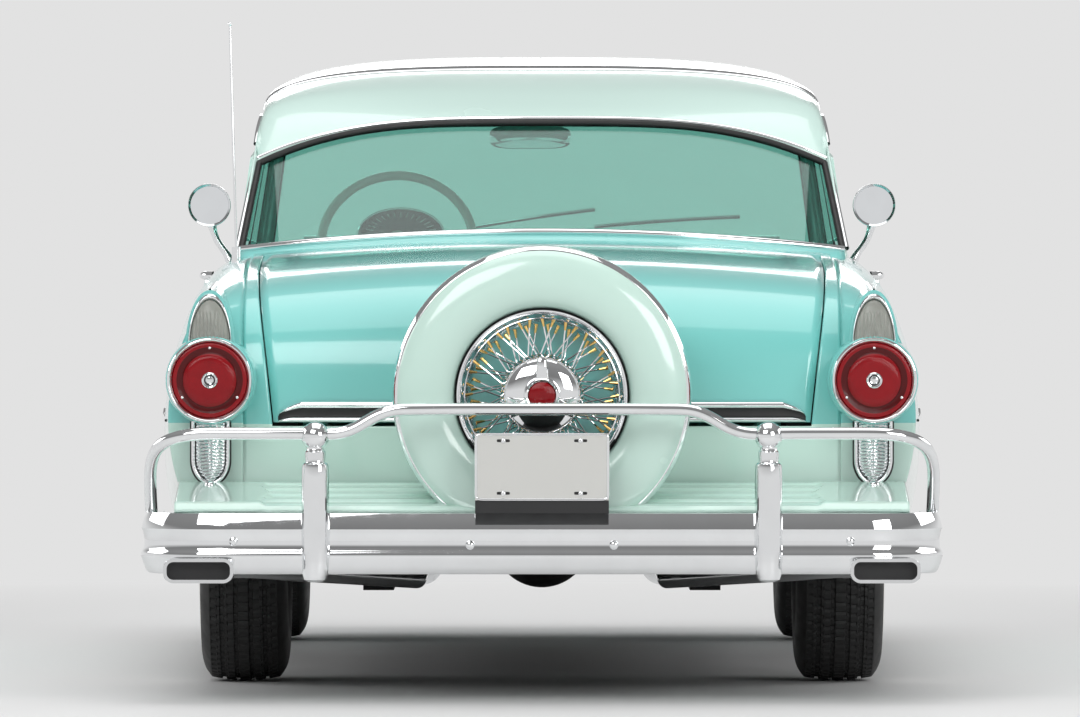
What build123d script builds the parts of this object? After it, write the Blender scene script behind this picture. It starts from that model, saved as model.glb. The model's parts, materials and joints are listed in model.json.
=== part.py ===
"""A 1950s two-door hardtop with a spare wheel carried upright behind the boot.

Frame: +Y forward, +X to the car's right, +Z up, in millimetres. The origin is on the ground,
below the middle of the car's box. Places along the car are stations: distances ahead of its rearmost point.
"""

import os
from math import cos, radians, sin, sqrt

from build123d import *

# Driving dimensions of the whole car
OVERALL_LENGTH = 5264
CUT_TOP = 1300
WHEELBASE = 2934
REAR_OVERHANG = 1480
REAR_TRACK = 1440
FRONT_TRACK = 1474

# Tyres and wheels
TYRE_RADIUS = 346
TYRE_WIDTH = 215
RIM_RADIUS = 198
RIM_WALL = 10
RIM_WIDTH = 165
HUB_RADIUS = 62
WHEEL_DISC = 8
SPOKE_COUNT = 32
SPOKE_RADIUS = 2.6
CAP_RADIUS = 34
TREAD_GROOVES = 3
GROOVE_WIDTH = 8
GROOVE_DEPTH = 8

# Clearances
SEAT_GAP = 0.3
PANEL_GAP = 6
GLASS_GAP = 0.3
DOOR_GLASS_GAP = 8

# Body shell
SIDE_WALL = 90
DOOR_INNER_X = 600
FIREWALL_STATION = 3740
MOUTH_HALF = 560
MOUTH_BOTTOM = 545
MOUTH_TOP = 735
GRILLE_STATION = 5098
GRILLE_ROWS = 6
GRILLE_COLUMNS = 28
TOP_SKIN = 40
END_WALL = 60
LID_HALF_WIDTH = 650
LID_FRONT_STATION = 1310
LID_BOTTOM = 640
DOOR_REAR_STATION = 2120
DOOR_FRONT_STATION = 3380
SILL_TOP = 340

# Hinges. The lids turn about pins just above the skin, the doors about pins just outside it.
DOOR_HINGE_X = 928
DOOR_HINGE_HEIGHTS = (470, 680)
DOOR_HINGE_RADIUS = 4
LID_HINGE_STATION = 1313
LID_HINGE_Z = 1076.5
HOOD_HINGE_STATION = 3797
HOOD_HINGE_Z = 1102.5
LID_HINGE_X = 110
LID_HINGE_RADIUS = 6
HINGE_LENGTH = 90
HINGE_PIN = 2.2
HINGE_STRAP = 28
HINGE_DEPTH = 14
HINGE_CLEAR = 4

# Body panels
HOOD_HALF_WIDTH = 640
HOOD_REAR_STATION = 3800
HOOD_FRONT_STATION = 5062
HOOD_BOTTOM = 780
REAR_ARCH_RADIUS = 385
REAR_ARCH_TOP = 655
FRONT_ARCH_RADIUS = 402
ARCH_INNER_X = 590
REAR_SKIN_X = 848
ARCH_FRONT_INNER_X = 430

# Greenhouse
BELT_Z = 1030
ROOF_Z = 1540
ROOF_WALL = 42
GLASS_DEPTH = 14
GLASS_THICKNESS = 6
BACKLIGHT_BASE = (1335, 1060)
BACKLIGHT_TOP = (1790, 1365)
WINDSHIELD_BASE = (3790, 1050)
WINDSHIELD_TOP = (3330, 1470)
ROOF_APEX_STATION = 2620
BACKLIGHT_BOW = 215
WINDSHIELD_BOW = 300
GREENHOUSE_HALF_BASE = 752
GREENHOUSE_HALF_RAIL = 692
RAIL_Z = 1385
BAND_WIDTH = 95
BAND_LEAN = 150
BAND_FOOT_STATION = 2075
BAND_THICKNESS = 6

# Rear bumper, guards, rail and carried spare
BUMPER_HALF_WIDTH = 932
BUMPER_BOTTOM = 297
BUMPER_TOP = 440
BUMPER_DEPTH = 48
REAR_BUMPER_WRAP = 400
BUMPER_CORNER = 190
GUARD_X = 522
GUARD_RADIUS = 33
GUARD_BOTTOM = 280
GUARD_SHOULDER = 548
BALL_RADIUS = 33
RAIL_RADIUS = 14.5
RAIL_LOW_Z = 618
RAIL_HIGH_Z = 678
RAIL_END_X = 908
SPARE_Z = 710
SPARE_RADIUS = 348
SPARE_THICKNESS = 182
SPARE_REAR_STATION = 117
PLATE_WIDTH = 308
PLATE_HEIGHT = 154
PLATE_Z = 547
PLATE_THICKNESS = 3
PLATE_HOLE_X = 178
PLATE_HOLE_Z = 121
PLATE_HOLE_RADIUS = 3.5
EXHAUST_TIP_X = 792
EXHAUST_TIP_Z = 307
EXHAUST_TIP_WIDTH = 162
EXHAUST_TIP_HEIGHT = 57
TIP_PROUD = 30
TIP_LENGTH = 150
PIPE_RADIUS = 24
MUFFLER_RADIUS = 52
BUMPER_ROUND = 22
RAIL_FOOT_STATION = 258
RAIL_DIP_X = 455
RAIL_CREST_X = 350
RAIL_BEND = 90
PLATE_STATION = 14
APRON_THICKNESS = 14
APRON_REAR_Z = BUMPER_TOP + SEAT_GAP + APRON_THICKNESS
APRON_FRONT_Z = 500
APRON_HALF = 850
FRONT_BUMPER_WRAP = 420
FRONT_BUMPER_BOTTOM = 330
FRONT_BUMPER_TOP = 480
FRONT_GUARD_X = 330
FRONT_GUARD_PROUD = 18

# Lamps
TAIL_X = 775
TAIL_Z = 743
TAIL_LENS_RADIUS = 88
TAIL_BEZEL_RADIUS = 99
TAIL_REAR_STATION = 335
BACKUP_TOP_Z = 951
BACKUP_BASE_Z = 828
BACKUP_HALF_WIDTH = 48
BEZEL_DEPTH = 24
LAMP_DEPTH = 50
POD_LIP = 5
POD_FRONT_STATION = 520
FIN_LENGTH = 330
SPEAR_HALF = 41
SPEAR_BOTTOM_Z = 502
SPEAR_DEPTH = 22
HEADLAMP_X = 738
HEADLAMP_Z = 782
HEADLAMP_RADIUS = 90
HEADLAMP_POD_RADIUS = 112
HEADLAMP_FRONT_STATION = 5190

# Chassis and running gear
FRAME_RAIL_X = 405
FRAME_RAIL_WIDTH = 76
FRAME_RAIL_HEIGHT = 110
FRAME_LOW_Z = 205
FLOOR_Z = FRAME_LOW_Z + FRAME_RAIL_HEIGHT + SEAT_GAP
FLOOR_THICKNESS = 20
BOOT_FLOOR_Z = 545
BOOT_FLOOR_THICKNESS = 18
BOOT_FLOOR_HALF = 585
TUNNEL_HALF = 80
TUNNEL_RISE = 100
AXLE_TUBE_RADIUS = 42
DIFFERENTIAL_RADIUS = 120
DRUM_RADIUS = 140
FRONT_DRUM_RADIUS = 100
SHAFT_RADIUS = 34
GEARBOX_REAR_STATION = 3250
SPRING_X = 520
SPRING_REAR_STATION = 930
SPRING_FRONT_STATION = 1850
SPRING_EYE_Z = 410
FLOOR_HALF = 770
SILL_HALF = 872
RISER_STATION = 1960
SEAT_HALF = 640
FRONT_SEAT_STATIONS = (2330, 2830)
FRONT_SEAT_TOP = 640
FRONT_BACK_TOP = 1010
FRONT_BACK_DEPTH = 150
FRONT_BACK_LEAN = 90
SEAT_FEET_STATIONS = (2400, 2760)
SEAT_FOOT_X = 420
SEAT_FOOT_HALF = 25
SEAT_UNDERSIDE = 110
REAR_SEAT_HALF = 560
REAR_SEAT_STATIONS = (1590, 2040)
REAR_SEAT_TOP = 730
REAR_BACK_DEPTH = 140
REAR_BACK_LEAN = 60
SHELF_STATIONS = (1345, 1640)
SHELF_THICKNESS = 14
SHELF_Z = 980
SHELF_HALF = 580
DASH_STATION = 3330
DASH_HALF = 690
DASH_BOTTOM = 815
DASH_STEP_Z = 1000
DASH_TOP = 1085
DASH_TOP_HALF = 620
DASH_TOP_FRONT_STATION = 3480
CLUSTER_RADIUS = 72
CLUSTER_HALF = 130
MIRROR_X = 862
MIRROR_Z = 1166
MIRROR_STATION = 3180
MIRROR_RADIUS = 56
MIRROR_FOOT_X = 800
AERIAL_X = -736
AERIAL_STATION = 1200
AERIAL_LEAN = 16
AERIAL_TIP_Z = 1592
KINGPIN_X = 655
KINGPIN_RADIUS = 18
STEERING_WHEEL_RADIUS = 208
STEERING_WHEEL_X = -370
STEERING_WHEEL_STATION = 2890
STEERING_WHEEL_Z = 1062
STEERING_RAKE = 25

REAR_AXLE_STATION = REAR_OVERHANG
FRONT_AXLE_STATION = REAR_OVERHANG + WHEELBASE
BUMPER_REAR_STATION = 2 * GUARD_RADIUS + SEAT_GAP
FRONT_BUMPER_FACE = OVERALL_LENGTH - FRONT_GUARD_PROUD
FRAME_FRONT_STATION = FRONT_BUMPER_FACE - BUMPER_DEPTH - SEAT_GAP

# Body sections. Columns: station, half width at the fullest height, that height, half width at the bottom,
# bottom height, half width at the shoulder, shoulder height, height on the centre line.
BODY_SECTIONS = [
    (480, 872, 715, 842, 470, 772, 955, 975),
    (900, 892, 712, 866, 400, 790, 992, 1042),
    (1480, 908, 705, 876, 320, 792, 1022, 1082),
    (2800, 918, 690, 884, 290, 808, 1040, 1100),
    (3800, 915, 700, 884, 290, 812, 1035, 1100),
    (4700, 905, 700, 872, 330, 790, 975, 1035),
    (5080, 888, 690, 842, 440, 762, 918, 962),
]
TAIL_END = (425, 836, 710, 812, 490, 722, 912, 926)
NOSE_END = (5140, 845, 680, 806, 470, 715, 872, 908)


def station(distance):
    """The Y place of a station."""
    return distance - OVERALL_LENGTH / 2


def span_box(x0, x1, s0, s1, z0, z1):
    """A box between two X places, two stations and two heights."""
    centre = ((x0 + x1) / 2, station((s0 + s1) / 2), (z0 + z1) / 2)
    return Pos(*centre) * Box(x1 - x0, s1 - s0, z1 - z0)


def both_sides(shape):
    """A right-hand shape with its mirror image on the left."""
    return [shape, mirror(shape, about=Plane.YZ)]


def rod(start, end, radius):
    """A round bar between two points."""
    a, b = Vector(*start), Vector(*end)
    plane = Plane(origin=a, z_dir=b - a)
    return plane * Cylinder(radius, (b - a).length, align=(Align.CENTER, Align.CENTER, Align.MIN))


def x_disc(x0, x1, at_station, z, radius):
    """A disc or drum whose axis runs along X."""
    plane = Plane(origin=(x0, station(at_station), z), z_dir=(1, 0, 0))
    return plane * Cylinder(radius, x1 - x0, align=(Align.CENTER, Align.CENTER, Align.MIN))


def y_disc(x, s0, s1, z, radius):
    """A disc or drum whose axis runs along Y, between two stations."""
    plane = Plane(origin=(x, station(s0), z), z_dir=(0, 1, 0))
    return plane * Cylinder(radius, s1 - s0, align=(Align.CENTER, Align.CENTER, Align.MIN))


def body_section(row, side_inset=0, top_inset=0, bottom_inset=0):
    """One closed cross-section of the body: flat bottom, a bowed side each way and a crowned top."""
    at, half, z_full, half_low, z_low, half_high, z_high, z_centre = row
    half, half_low, half_high = half - side_inset, half_low - side_inset, half_high - side_inset
    z_high, z_centre, z_low = z_high - top_inset, z_centre - top_inset, z_low - bottom_inset
    y = station(at)
    low_right, low_left = (half_low, y, z_low), (-half_low, y, z_low)
    high_right, high_left = (half_high, y, z_high), (-half_high, y, z_high)
    return Wire([
        Line(low_left, low_right),
        ThreePointArc(low_right, (half, y, z_full), high_right),
        ThreePointArc(high_right, (0, y, z_centre), high_left),
        ThreePointArc(high_left, (-half, y, z_full), low_left),
    ])


def body_loft(side_inset=0, top_inset=0, bottom_inset=0, end_inset=0):
    """The body from tail to nose as one solid, or its hollow when it is inset."""
    insets = (side_inset, top_inset, bottom_inset)
    rows = [list(row) for row in BODY_SECTIONS]
    rows[0][0] += end_inset
    rows[-1][0] -= end_inset
    return Solid.make_loft([body_section(row, *insets) for row in rows])


def body_outer():
    """The outer body with its rounded tail and nose."""
    tail = Solid.make_loft([body_section(TAIL_END), body_section(BODY_SECTIONS[0])], ruled=True)
    nose = Solid.make_loft([body_section(BODY_SECTIONS[-1]), body_section(NOSE_END)], ruled=True)
    return body_loft() + tail + nose


def wheel_openings():
    """The four wheel arches as cutters."""
    reach = BUMPER_HALF_WIDTH + 100
    cutters = []
    for inner, outer in [(ARCH_INNER_X, REAR_SKIN_X), (-REAR_SKIN_X, -ARCH_INNER_X)]:
        cutters.append(x_disc(inner, outer, REAR_AXLE_STATION, TYRE_RADIUS, REAR_ARCH_RADIUS + 20))
    flat_top = span_box(-reach, reach, 0, OVERALL_LENGTH, 0, REAR_ARCH_TOP)
    for inner, outer in [(ARCH_INNER_X, reach), (-reach, -ARCH_INNER_X)]:
        cutters.append(x_disc(inner, outer, REAR_AXLE_STATION, TYRE_RADIUS, REAR_ARCH_RADIUS) & flat_top)
    for inner, outer in [(ARCH_FRONT_INNER_X, reach), (-reach, -ARCH_FRONT_INNER_X)]:
        cutters.append(x_disc(inner, outer, FRONT_AXLE_STATION, TYRE_RADIUS, FRONT_ARCH_RADIUS))
    return cutters


def side_profile(points_and_arcs):
    """A closed YZ face through the given edges, extruded across the whole car."""
    face = Face(Wire(points_and_arcs))
    return extrude(face, amount=2 * BUMPER_HALF_WIDTH, dir=(1, 0, 0)).moved(Pos(-BUMPER_HALF_WIDTH, 0, 0))


def slanted_prism(base, top, bow, inset, forward):
    """The space on the cabin's side of a bowed, sloping glass: a plan arc swept up along its slope."""
    reach = GREENHOUSE_HALF_BASE + 60
    low, high = -400, 900
    run = Vector(0, top[0] - base[0], top[1] - base[1]).normalized()
    sense = 1 if forward else -1
    level = inset / abs(run.Z)
    middle = station(base[0]) - sense * level
    side = middle - sense * bow
    far = middle - sense * 3200
    z = base[1]
    plan = Face(Wire([
        ThreePointArc((-reach, side, z), (0, middle, z), (reach, side, z)),
        Line((reach, side, z), (reach, far, z)),
        Line((reach, far, z), (-reach, far, z)),
        Line((-reach, far, z), (-reach, side, z)),
    ]))
    start = plan.moved(Pos(*(run * low)))
    return extrude(start, amount=high - low, dir=tuple(run))


def greenhouse(inset=0):
    """The cabin's upper part as one solid: crowned roof, leaning sides and bowed glass slopes."""
    low = 900
    half, rail = GREENHOUSE_HALF_BASE - inset, GREENHOUSE_HALF_RAIL - inset
    top = ROOF_Z - inset
    knee = (rail - 55, RAIL_Z + 82 - inset * 0.7)
    brow = (rail - 185, RAIL_Z + 122 - inset)
    y = station(1000)
    section = Face(Wire([
        Line((-half, y, low), (half, y, low)),
        Line((half, y, low), (half, y, BELT_Z)),
        Line((half, y, BELT_Z), (rail, y, RAIL_Z)),
        ThreePointArc((rail, y, RAIL_Z), (knee[0], y, knee[1]), (brow[0], y, brow[1])),
        ThreePointArc((brow[0], y, brow[1]), (0, y, top), (-brow[0], y, brow[1])),
        ThreePointArc((-brow[0], y, brow[1]), (-knee[0], y, knee[1]), (-rail, y, RAIL_Z)),
        Line((-rail, y, RAIL_Z), (-half, y, BELT_Z)),
        Line((-half, y, BELT_Z), (-half, y, low)),
    ]))
    body = extrude(section, amount=3200, dir=(0, 1, 0))
    x = 0
    rear_low, front_low = (x, station(1000), low), (x, station(4000), low)
    rear_top = (x, station(BACKLIGHT_TOP[0] - 120), BACKLIGHT_TOP[1] - inset - 12)
    apex = (x, station(ROOF_APEX_STATION), top)
    front_top = (x, station(WINDSHIELD_TOP[0] + 100), WINDSHIELD_TOP[1] - inset)
    rear_knee = (x, station(2150), top - 42)
    front_knee = (x, station(3020), top - 22)
    above_rear = (x, station(1000), rear_top[2])
    above_front = (x, station(4000), front_top[2])
    roof = side_profile([
        Line(rear_low, front_low),
        Line(front_low, above_front),
        Line(above_front, front_top),
        ThreePointArc(front_top, front_knee, apex),
        ThreePointArc(apex, rear_knee, rear_top),
        Line(rear_top, above_rear),
        Line(above_rear, rear_low),
    ])
    rear = slanted_prism(BACKLIGHT_BASE, BACKLIGHT_TOP, BACKLIGHT_BOW, inset, forward=False)
    front = slanted_prism(WINDSHIELD_BASE, WINDSHIELD_TOP, WINDSHIELD_BOW, inset, forward=True)
    return body & roof & rear & front


def window_prism(points, s0=None, s1=None, shrink=0.0):
    """A cutter through a window. Points are (station, height) for a side window, cut across the car,
    or (x, height) for a front or rear one, cut between two stations."""
    if s0 is None:
        wire = Polyline(*[(0, station(p), z) for p, z in points], close=True)
        face = Face(Wire(wire.edges()))
        face = face if not shrink else Face(offset(face, -shrink).wires()[0])
        return extrude(face, amount=1000, dir=(1, 0, 0)) + extrude(face, amount=1000, dir=(-1, 0, 0))
    wire = Polyline(*[(x, station(s0), z) for x, z in points], close=True)
    face = Face(Wire(wire.edges()))
    face = face if not shrink else Face(offset(face, -shrink).wires()[0])
    return extrude(face, amount=s1 - s0, dir=(0, 1, 0))


# Window outlines. Side windows as (station, height), the two large ones as (x, height).
PILLAR_HALF = 32
BAND_TOP_STATION = BAND_FOOT_STATION + BAND_LEAN
WINDOW_SILL = 1068
WINDOW_HEAD = 1372
DOOR_CUT_Z = 980
QUARTER_WINDOW = [
    (1690, WINDOW_SILL), (BAND_FOOT_STATION - PILLAR_HALF, WINDOW_SILL),
    (BAND_TOP_STATION - PILLAR_HALF, WINDOW_HEAD), (1985, WINDOW_HEAD),
]
DOOR_WINDOW = [
    (DOOR_REAR_STATION - PANEL_GAP / 2, DOOR_CUT_Z), (DOOR_FRONT_STATION + PANEL_GAP / 2, DOOR_CUT_Z),
    (DOOR_FRONT_STATION + PANEL_GAP / 2, WINDOW_SILL), (3180, WINDOW_HEAD),
    (BAND_TOP_STATION + PILLAR_HALF, WINDOW_HEAD), (BAND_FOOT_STATION + PILLAR_HALF + 30, WINDOW_SILL - 8),
    (DOOR_REAR_STATION - PANEL_GAP / 2, WINDOW_SILL - 12),
]
BACKLIGHT = [
    (-702, 1092), (702, 1092), (668, 1318), (600, 1350), (300, 1362),
    (-300, 1362), (-600, 1350), (-668, 1318),
]
WINDSHIELD = [
    (-706, 1088), (706, 1088), (656, 1360), (590, 1425), (-590, 1425), (-656, 1360),
]


def windows(shrink=0.0):
    """The cutters for all the windows, by name."""
    return {
        "quarter": window_prism(QUARTER_WINDOW, shrink=shrink),
        "door": window_prism(DOOR_WINDOW, shrink=shrink),
        "backlight": window_prism(BACKLIGHT, 1200, 1990, shrink),
        "windshield": window_prism(WINDSHIELD, 3100, 3900, shrink),
    }


def tyre_solid():
    """A tyre about the X axis, centred on the origin: rounded shoulders, a crowned tread and grooves."""
    half, rim = TYRE_WIDTH / 2, RIM_RADIUS
    bulge = (rim + TYRE_RADIUS) / 2 - 6
    tread = half - 26
    edge = tread + 8
    profile = Face(Wire([
        Line((-half + 22, 0, rim), (half - 22, 0, rim)),
        ThreePointArc((half - 22, 0, rim), (half, 0, bulge), (edge, 0, TYRE_RADIUS - 12)),
        ThreePointArc((edge, 0, TYRE_RADIUS - 12), (0, 0, TYRE_RADIUS), (-edge, 0, TYRE_RADIUS - 12)),
        ThreePointArc((-edge, 0, TYRE_RADIUS - 12), (-half, 0, bulge), (-half + 22, 0, rim)),
    ]))
    tyre = revolve(profile, axis=Axis.X)
    pitch = 2 * tread / (TREAD_GROOVES + 1)
    for number in range(TREAD_GROOVES):
        x = -tread + pitch * (number + 1)
        plane = Plane(origin=(x - GROOVE_WIDTH / 2, 0, 0), z_dir=(1, 0, 0))
        on_end = (Align.CENTER, Align.CENTER, Align.MIN)
        outer = Cylinder(TYRE_RADIUS + 5, GROOVE_WIDTH, align=on_end)
        inner = Cylinder(TYRE_RADIUS - GROOVE_DEPTH, GROOVE_WIDTH, align=on_end)
        tyre = tyre - plane * (outer - inner)
    return tyre


def ring(x0, x1, outer, inner):
    """A plain ring about the X axis."""
    plane = Plane(origin=(x0, 0, 0), z_dir=(1, 0, 0))
    base = (Align.CENTER, Align.CENTER, Align.MIN)
    return plane * (Cylinder(outer, x1 - x0, align=base) - Cylinder(inner, x1 - x0, align=base))


def drum(x0, x1, radius):
    """A plain drum about the X axis."""
    plane = Plane(origin=(x0, 0, 0), z_dir=(1, 0, 0))
    return plane * Cylinder(radius, x1 - x0, align=(Align.CENTER, Align.CENTER, Align.MIN))


def wheel_solid():
    """A wire wheel about the X axis, its face towards +X: rim, web disc, crossed spokes, hub and cap."""
    half = RIM_WIDTH / 2
    inner = RIM_RADIUS - RIM_WALL - SEAT_GAP
    rim = ring(-half, half, RIM_RADIUS - SEAT_GAP, inner)
    web_x = half - 58
    web = drum(web_x, web_x + WHEEL_DISC, inner + 1)
    hub = drum(web_x, half - 8, HUB_RADIUS)
    cap = drum(half - 8, half + 12, CAP_RADIUS)
    wheel = rim + web + hub + cap
    lip = ring(half - 10, half, inner + 1, inner - 8)
    wheel = wheel + lip
    step = 360 / SPOKE_COUNT
    hub_x, rim_x = half - 22, half - 30
    for number in range(SPOKE_COUNT):
        angle = radians(step * number)
        lead = radians(step * 1.5 * (1 if number % 2 else -1))
        start = (hub_x, HUB_RADIUS * 0.97 * cos(angle), HUB_RADIUS * 0.97 * sin(angle))
        reach = inner + 3
        end = (rim_x - 12 * (number % 2), reach * cos(angle + lead), reach * sin(angle + lead))
        wheel = wheel + rod(start, end, SPOKE_RADIUS)
    return wheel


def write(name, shapes):
    """Writes one node's solids to its own file."""
    solids = []
    for shape in shapes if isinstance(shapes, (list, tuple)) else [shapes]:
        solids.extend(shape.solids())
    export_step(Compound(children=solids) if len(solids) > 1 else solids[0], f"parts/{name}.step")
    print(name, len(solids), flush=True)


def build_shell(outer):
    """The hollow body below the belt, with its wheel arches cut and the cabin open above."""
    hollow = body_loft(SIDE_WALL, TOP_SKIN, 80, END_WALL)
    shell = outer - hollow
    for cutter in wheel_openings():
        shell = shell - cutter
    cabin_top = span_box(-700, 700, 1420, 3560, 900, 1200)
    return shell - cabin_top


def teardrop(x, at, base, top, half, length):
    """A pointed arch standing on its base, extruded forward from a station."""
    y = station(at)
    knee = base + 0.55 * (top - base)
    face = Face(Wire([
        Line((x - half, y, base), (x + half, y, base)),
        ThreePointArc((x + half, y, base), (x + 0.78 * half, y, knee), (x, y, top)),
        ThreePointArc((x, y, top), (x - 0.78 * half, y, knee), (x - half, y, base)),
    ]))
    return extrude(face, amount=length, dir=(0, 1, 0))


def pin_hinge(centre, along, to_fixed, inward, radius):
    """One hinge: what it adds to and cuts from the fixed panel, then the same for the moving one."""
    c, a = Vector(*centre), Vector(*along)
    end, knuckle_end = HINGE_LENGTH / 2, HINGE_LENGTH / 6

    def barrel(t0, t1, size):
        """A length of the hinge's round."""
        return rod(tuple(c + a * t0), tuple(c + a * t1), size)

    def strap(t0, t1, sense):
        """The plate that carries a length of the round to its panel."""
        far = c + a * t1 + Vector(*to_fixed) * (sense * HINGE_STRAP) + Vector(*inward) * HINGE_DEPTH
        near = c + a * t0
        size = [abs(p - q) for p, q in zip(tuple(near), tuple(far))]
        return Pos(*tuple((near + far) * 0.5)) * Box(*size)

    cheeks = [(-end, -knuckle_end - SEAT_GAP), (knuckle_end + SEAT_GAP, end)]
    fixed = barrel(-end, end, HINGE_PIN)
    moving_cut = barrel(-end - 1, end + 1, HINGE_PIN + SEAT_GAP)
    for t0, t1 in cheeks:
        fixed = fixed + barrel(t0, t1, radius) + strap(t0, t1, 1)
        moving_cut = moving_cut + barrel(t0 - HINGE_CLEAR, t1 + SEAT_GAP, radius + HINGE_CLEAR)
    fixed_cut = barrel(-knuckle_end - SEAT_GAP, knuckle_end + SEAT_GAP, radius + HINGE_CLEAR)
    moving = barrel(-knuckle_end, knuckle_end, radius) + strap(-knuckle_end, knuckle_end, -1)
    return fixed, fixed_cut, moving, moving_cut


def hinge_panels(fixed_panel, moving_panel, centres, along, to_fixed, inward, radius):
    """A fixed and a moving panel with their hinges at the given places."""
    for centre in centres:
        fixed, fixed_cut, moving, moving_cut = pin_hinge(centre, along, to_fixed, inward, radius)
        fixed_panel = (fixed_panel - fixed_cut) + fixed
        moving_panel = (moving_panel + moving) - moving_cut
    return biggest(fixed_panel), biggest(moving_panel)


def build_rear_body(shell):
    """The quarter panels, joined by the panel below the boot lid, with the lamp pods, and the boot lid."""
    far = BUMPER_HALF_WIDTH + 100
    lid_gap = span_box(-LID_HALF_WIDTH - PANEL_GAP, LID_HALF_WIDTH + PANEL_GAP, 0,
                       LID_FRONT_STATION + PANEL_GAP, LID_BOTTOM - PANEL_GAP, CUT_TOP)
    rear_zone = span_box(-far, far, 0, DOOR_REAR_STATION - PANEL_GAP / 2, 0, CUT_TOP)
    rear = (shell & rear_zone) - lid_gap
    pod = y_disc(TAIL_X, TAIL_REAR_STATION + BEZEL_DEPTH, POD_FRONT_STATION, TAIL_Z,
                 TAIL_BEZEL_RADIUS + POD_LIP)
    fin = teardrop(TAIL_X, TAIL_REAR_STATION + LAMP_DEPTH, TAIL_Z, BACKUP_TOP_Z + POD_LIP,
                   BACKUP_HALF_WIDTH + POD_LIP, FIN_LENGTH)
    for solid in both_sides(pod) + both_sides(fin):
        rear = rear + solid
    lid_zone = span_box(-LID_HALF_WIDTH, LID_HALF_WIDTH, 0, LID_FRONT_STATION, LID_BOTTOM, CUT_TOP)
    places = [(x, station(LID_HINGE_STATION), LID_HINGE_Z) for x in (-LID_HINGE_X, LID_HINGE_X)]
    rear, lid = hinge_panels(rear, shell & lid_zone, places, (1, 0, 0), (0, 1, 0), (0, 0, -1),
                             LID_HINGE_RADIUS)
    write("rear_body", rear)
    write("boot_lid", lid)
    return rear


def build_body_panels(shell):
    """Splits the rest of the hollow body where its panels meet."""
    far = BUMPER_HALF_WIDTH + 100
    gap = PANEL_GAP / 2
    doors = {}
    for side in (1, -1):
        low, high = sorted((side * DOOR_INNER_X, side * far))
        zone = span_box(low, high, DOOR_REAR_STATION + gap, DOOR_FRONT_STATION - gap,
                        SILL_TOP + PANEL_GAP, CUT_TOP)
        swing = Pos(side * DOOR_HINGE_X, station(DOOR_FRONT_STATION), 700)
        reach = DOOR_FRONT_STATION - DOOR_REAR_STATION - gap
        doors[side] = shell & zone & (swing * Cylinder(reach, CUT_TOP))

    front_zone = span_box(-far, far, DOOR_FRONT_STATION + gap, OVERALL_LENGTH, 0, CUT_TOP)
    front = shell & front_zone
    middle_half = HOOD_HALF_WIDTH + PANEL_GAP
    hood_zone = span_box(-HOOD_HALF_WIDTH, HOOD_HALF_WIDTH, HOOD_REAR_STATION, HOOD_FRONT_STATION,
                         HOOD_BOTTOM, CUT_TOP)
    hood_gap = span_box(-middle_half, middle_half, HOOD_REAR_STATION - PANEL_GAP,
                        HOOD_FRONT_STATION + PANEL_GAP, HOOD_BOTTOM - PANEL_GAP, CUT_TOP)
    hood = front & hood_zone
    front = front - hood_gap
    pod = y_disc(HEADLAMP_X, HEADLAMP_FRONT_STATION - 190, HEADLAMP_FRONT_STATION, HEADLAMP_Z,
                 HEADLAMP_POD_RADIUS)
    pod = pod - span_box(0, middle_half, 0, OVERALL_LENGTH, 0, CUT_TOP)
    bore = y_disc(HEADLAMP_X, HEADLAMP_FRONT_STATION - 110, OVERALL_LENGTH, HEADLAMP_Z, HEADLAMP_RADIUS)
    fenders = front - span_box(-middle_half, middle_half, 0, OVERALL_LENGTH, 0, CUT_TOP)
    for solid in both_sides(pod):
        fenders = fenders + solid
    for solid in both_sides(bore):
        fenders = fenders - solid
    bumper_end = FRONT_BUMPER_FACE - FRONT_BUMPER_WRAP
    fenders = fenders - span_box(-far, far, bumper_end - 10, OVERALL_LENGTH, 0, FRONT_BUMPER_TOP + 8)
    wings = sorted(fenders.solids(), key=lambda solid: solid.center().X)
    wings = {-1: wings[0], 1: wings[-1]}
    for side, name in [(1, "door_right"), (-1, "door_left")]:
        places = [(side * DOOR_HINGE_X, station(DOOR_FRONT_STATION), z) for z in DOOR_HINGE_HEIGHTS]
        wings[side], doors[side] = hinge_panels(
            wings[side], doors[side], places, (0, 0, 1), (0, 1, 0), (-side, 0, 0), DOOR_HINGE_RADIUS)
        write(name, doors[side])
    write("front_fenders", [wings[1], wings[-1]])
    inner = middle_half - SEAT_GAP
    middle = front & span_box(-inner, inner, 0, OVERALL_LENGTH, 0, CUT_TOP)
    cowl = middle & span_box(-far, far, 0, 4000, 0, CUT_TOP)
    firewall = span_box(-inner, inner, FIREWALL_STATION, FIREWALL_STATION + 30, FLOOR_Z, 1020)
    shaft_gap = span_box(-TUNNEL_HALF, TUNNEL_HALF, 0, OVERALL_LENGTH, 0,
                         FLOOR_Z + FLOOR_THICKNESS + TUNNEL_RISE)
    places = [(x, station(HOOD_HINGE_STATION), HOOD_HINGE_Z) for x in (-LID_HINGE_X, LID_HINGE_X)]
    cowl, hood = hinge_panels(cowl + (firewall - shaft_gap), hood, places, (1, 0, 0), (0, -1, 0), (0, 0, -1),
                              LID_HINGE_RADIUS)
    write("hood", hood)
    write("cowl", cowl)
    nose = middle & span_box(-far, far, 4900, OVERALL_LENGTH, 0, HOOD_BOTTOM - PANEL_GAP)
    mouth = span_box(-MOUTH_HALF, MOUTH_HALF, 5000, OVERALL_LENGTH, MOUTH_BOTTOM, MOUTH_TOP)
    write("nose_panel", nose - mouth)
    return doors


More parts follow.
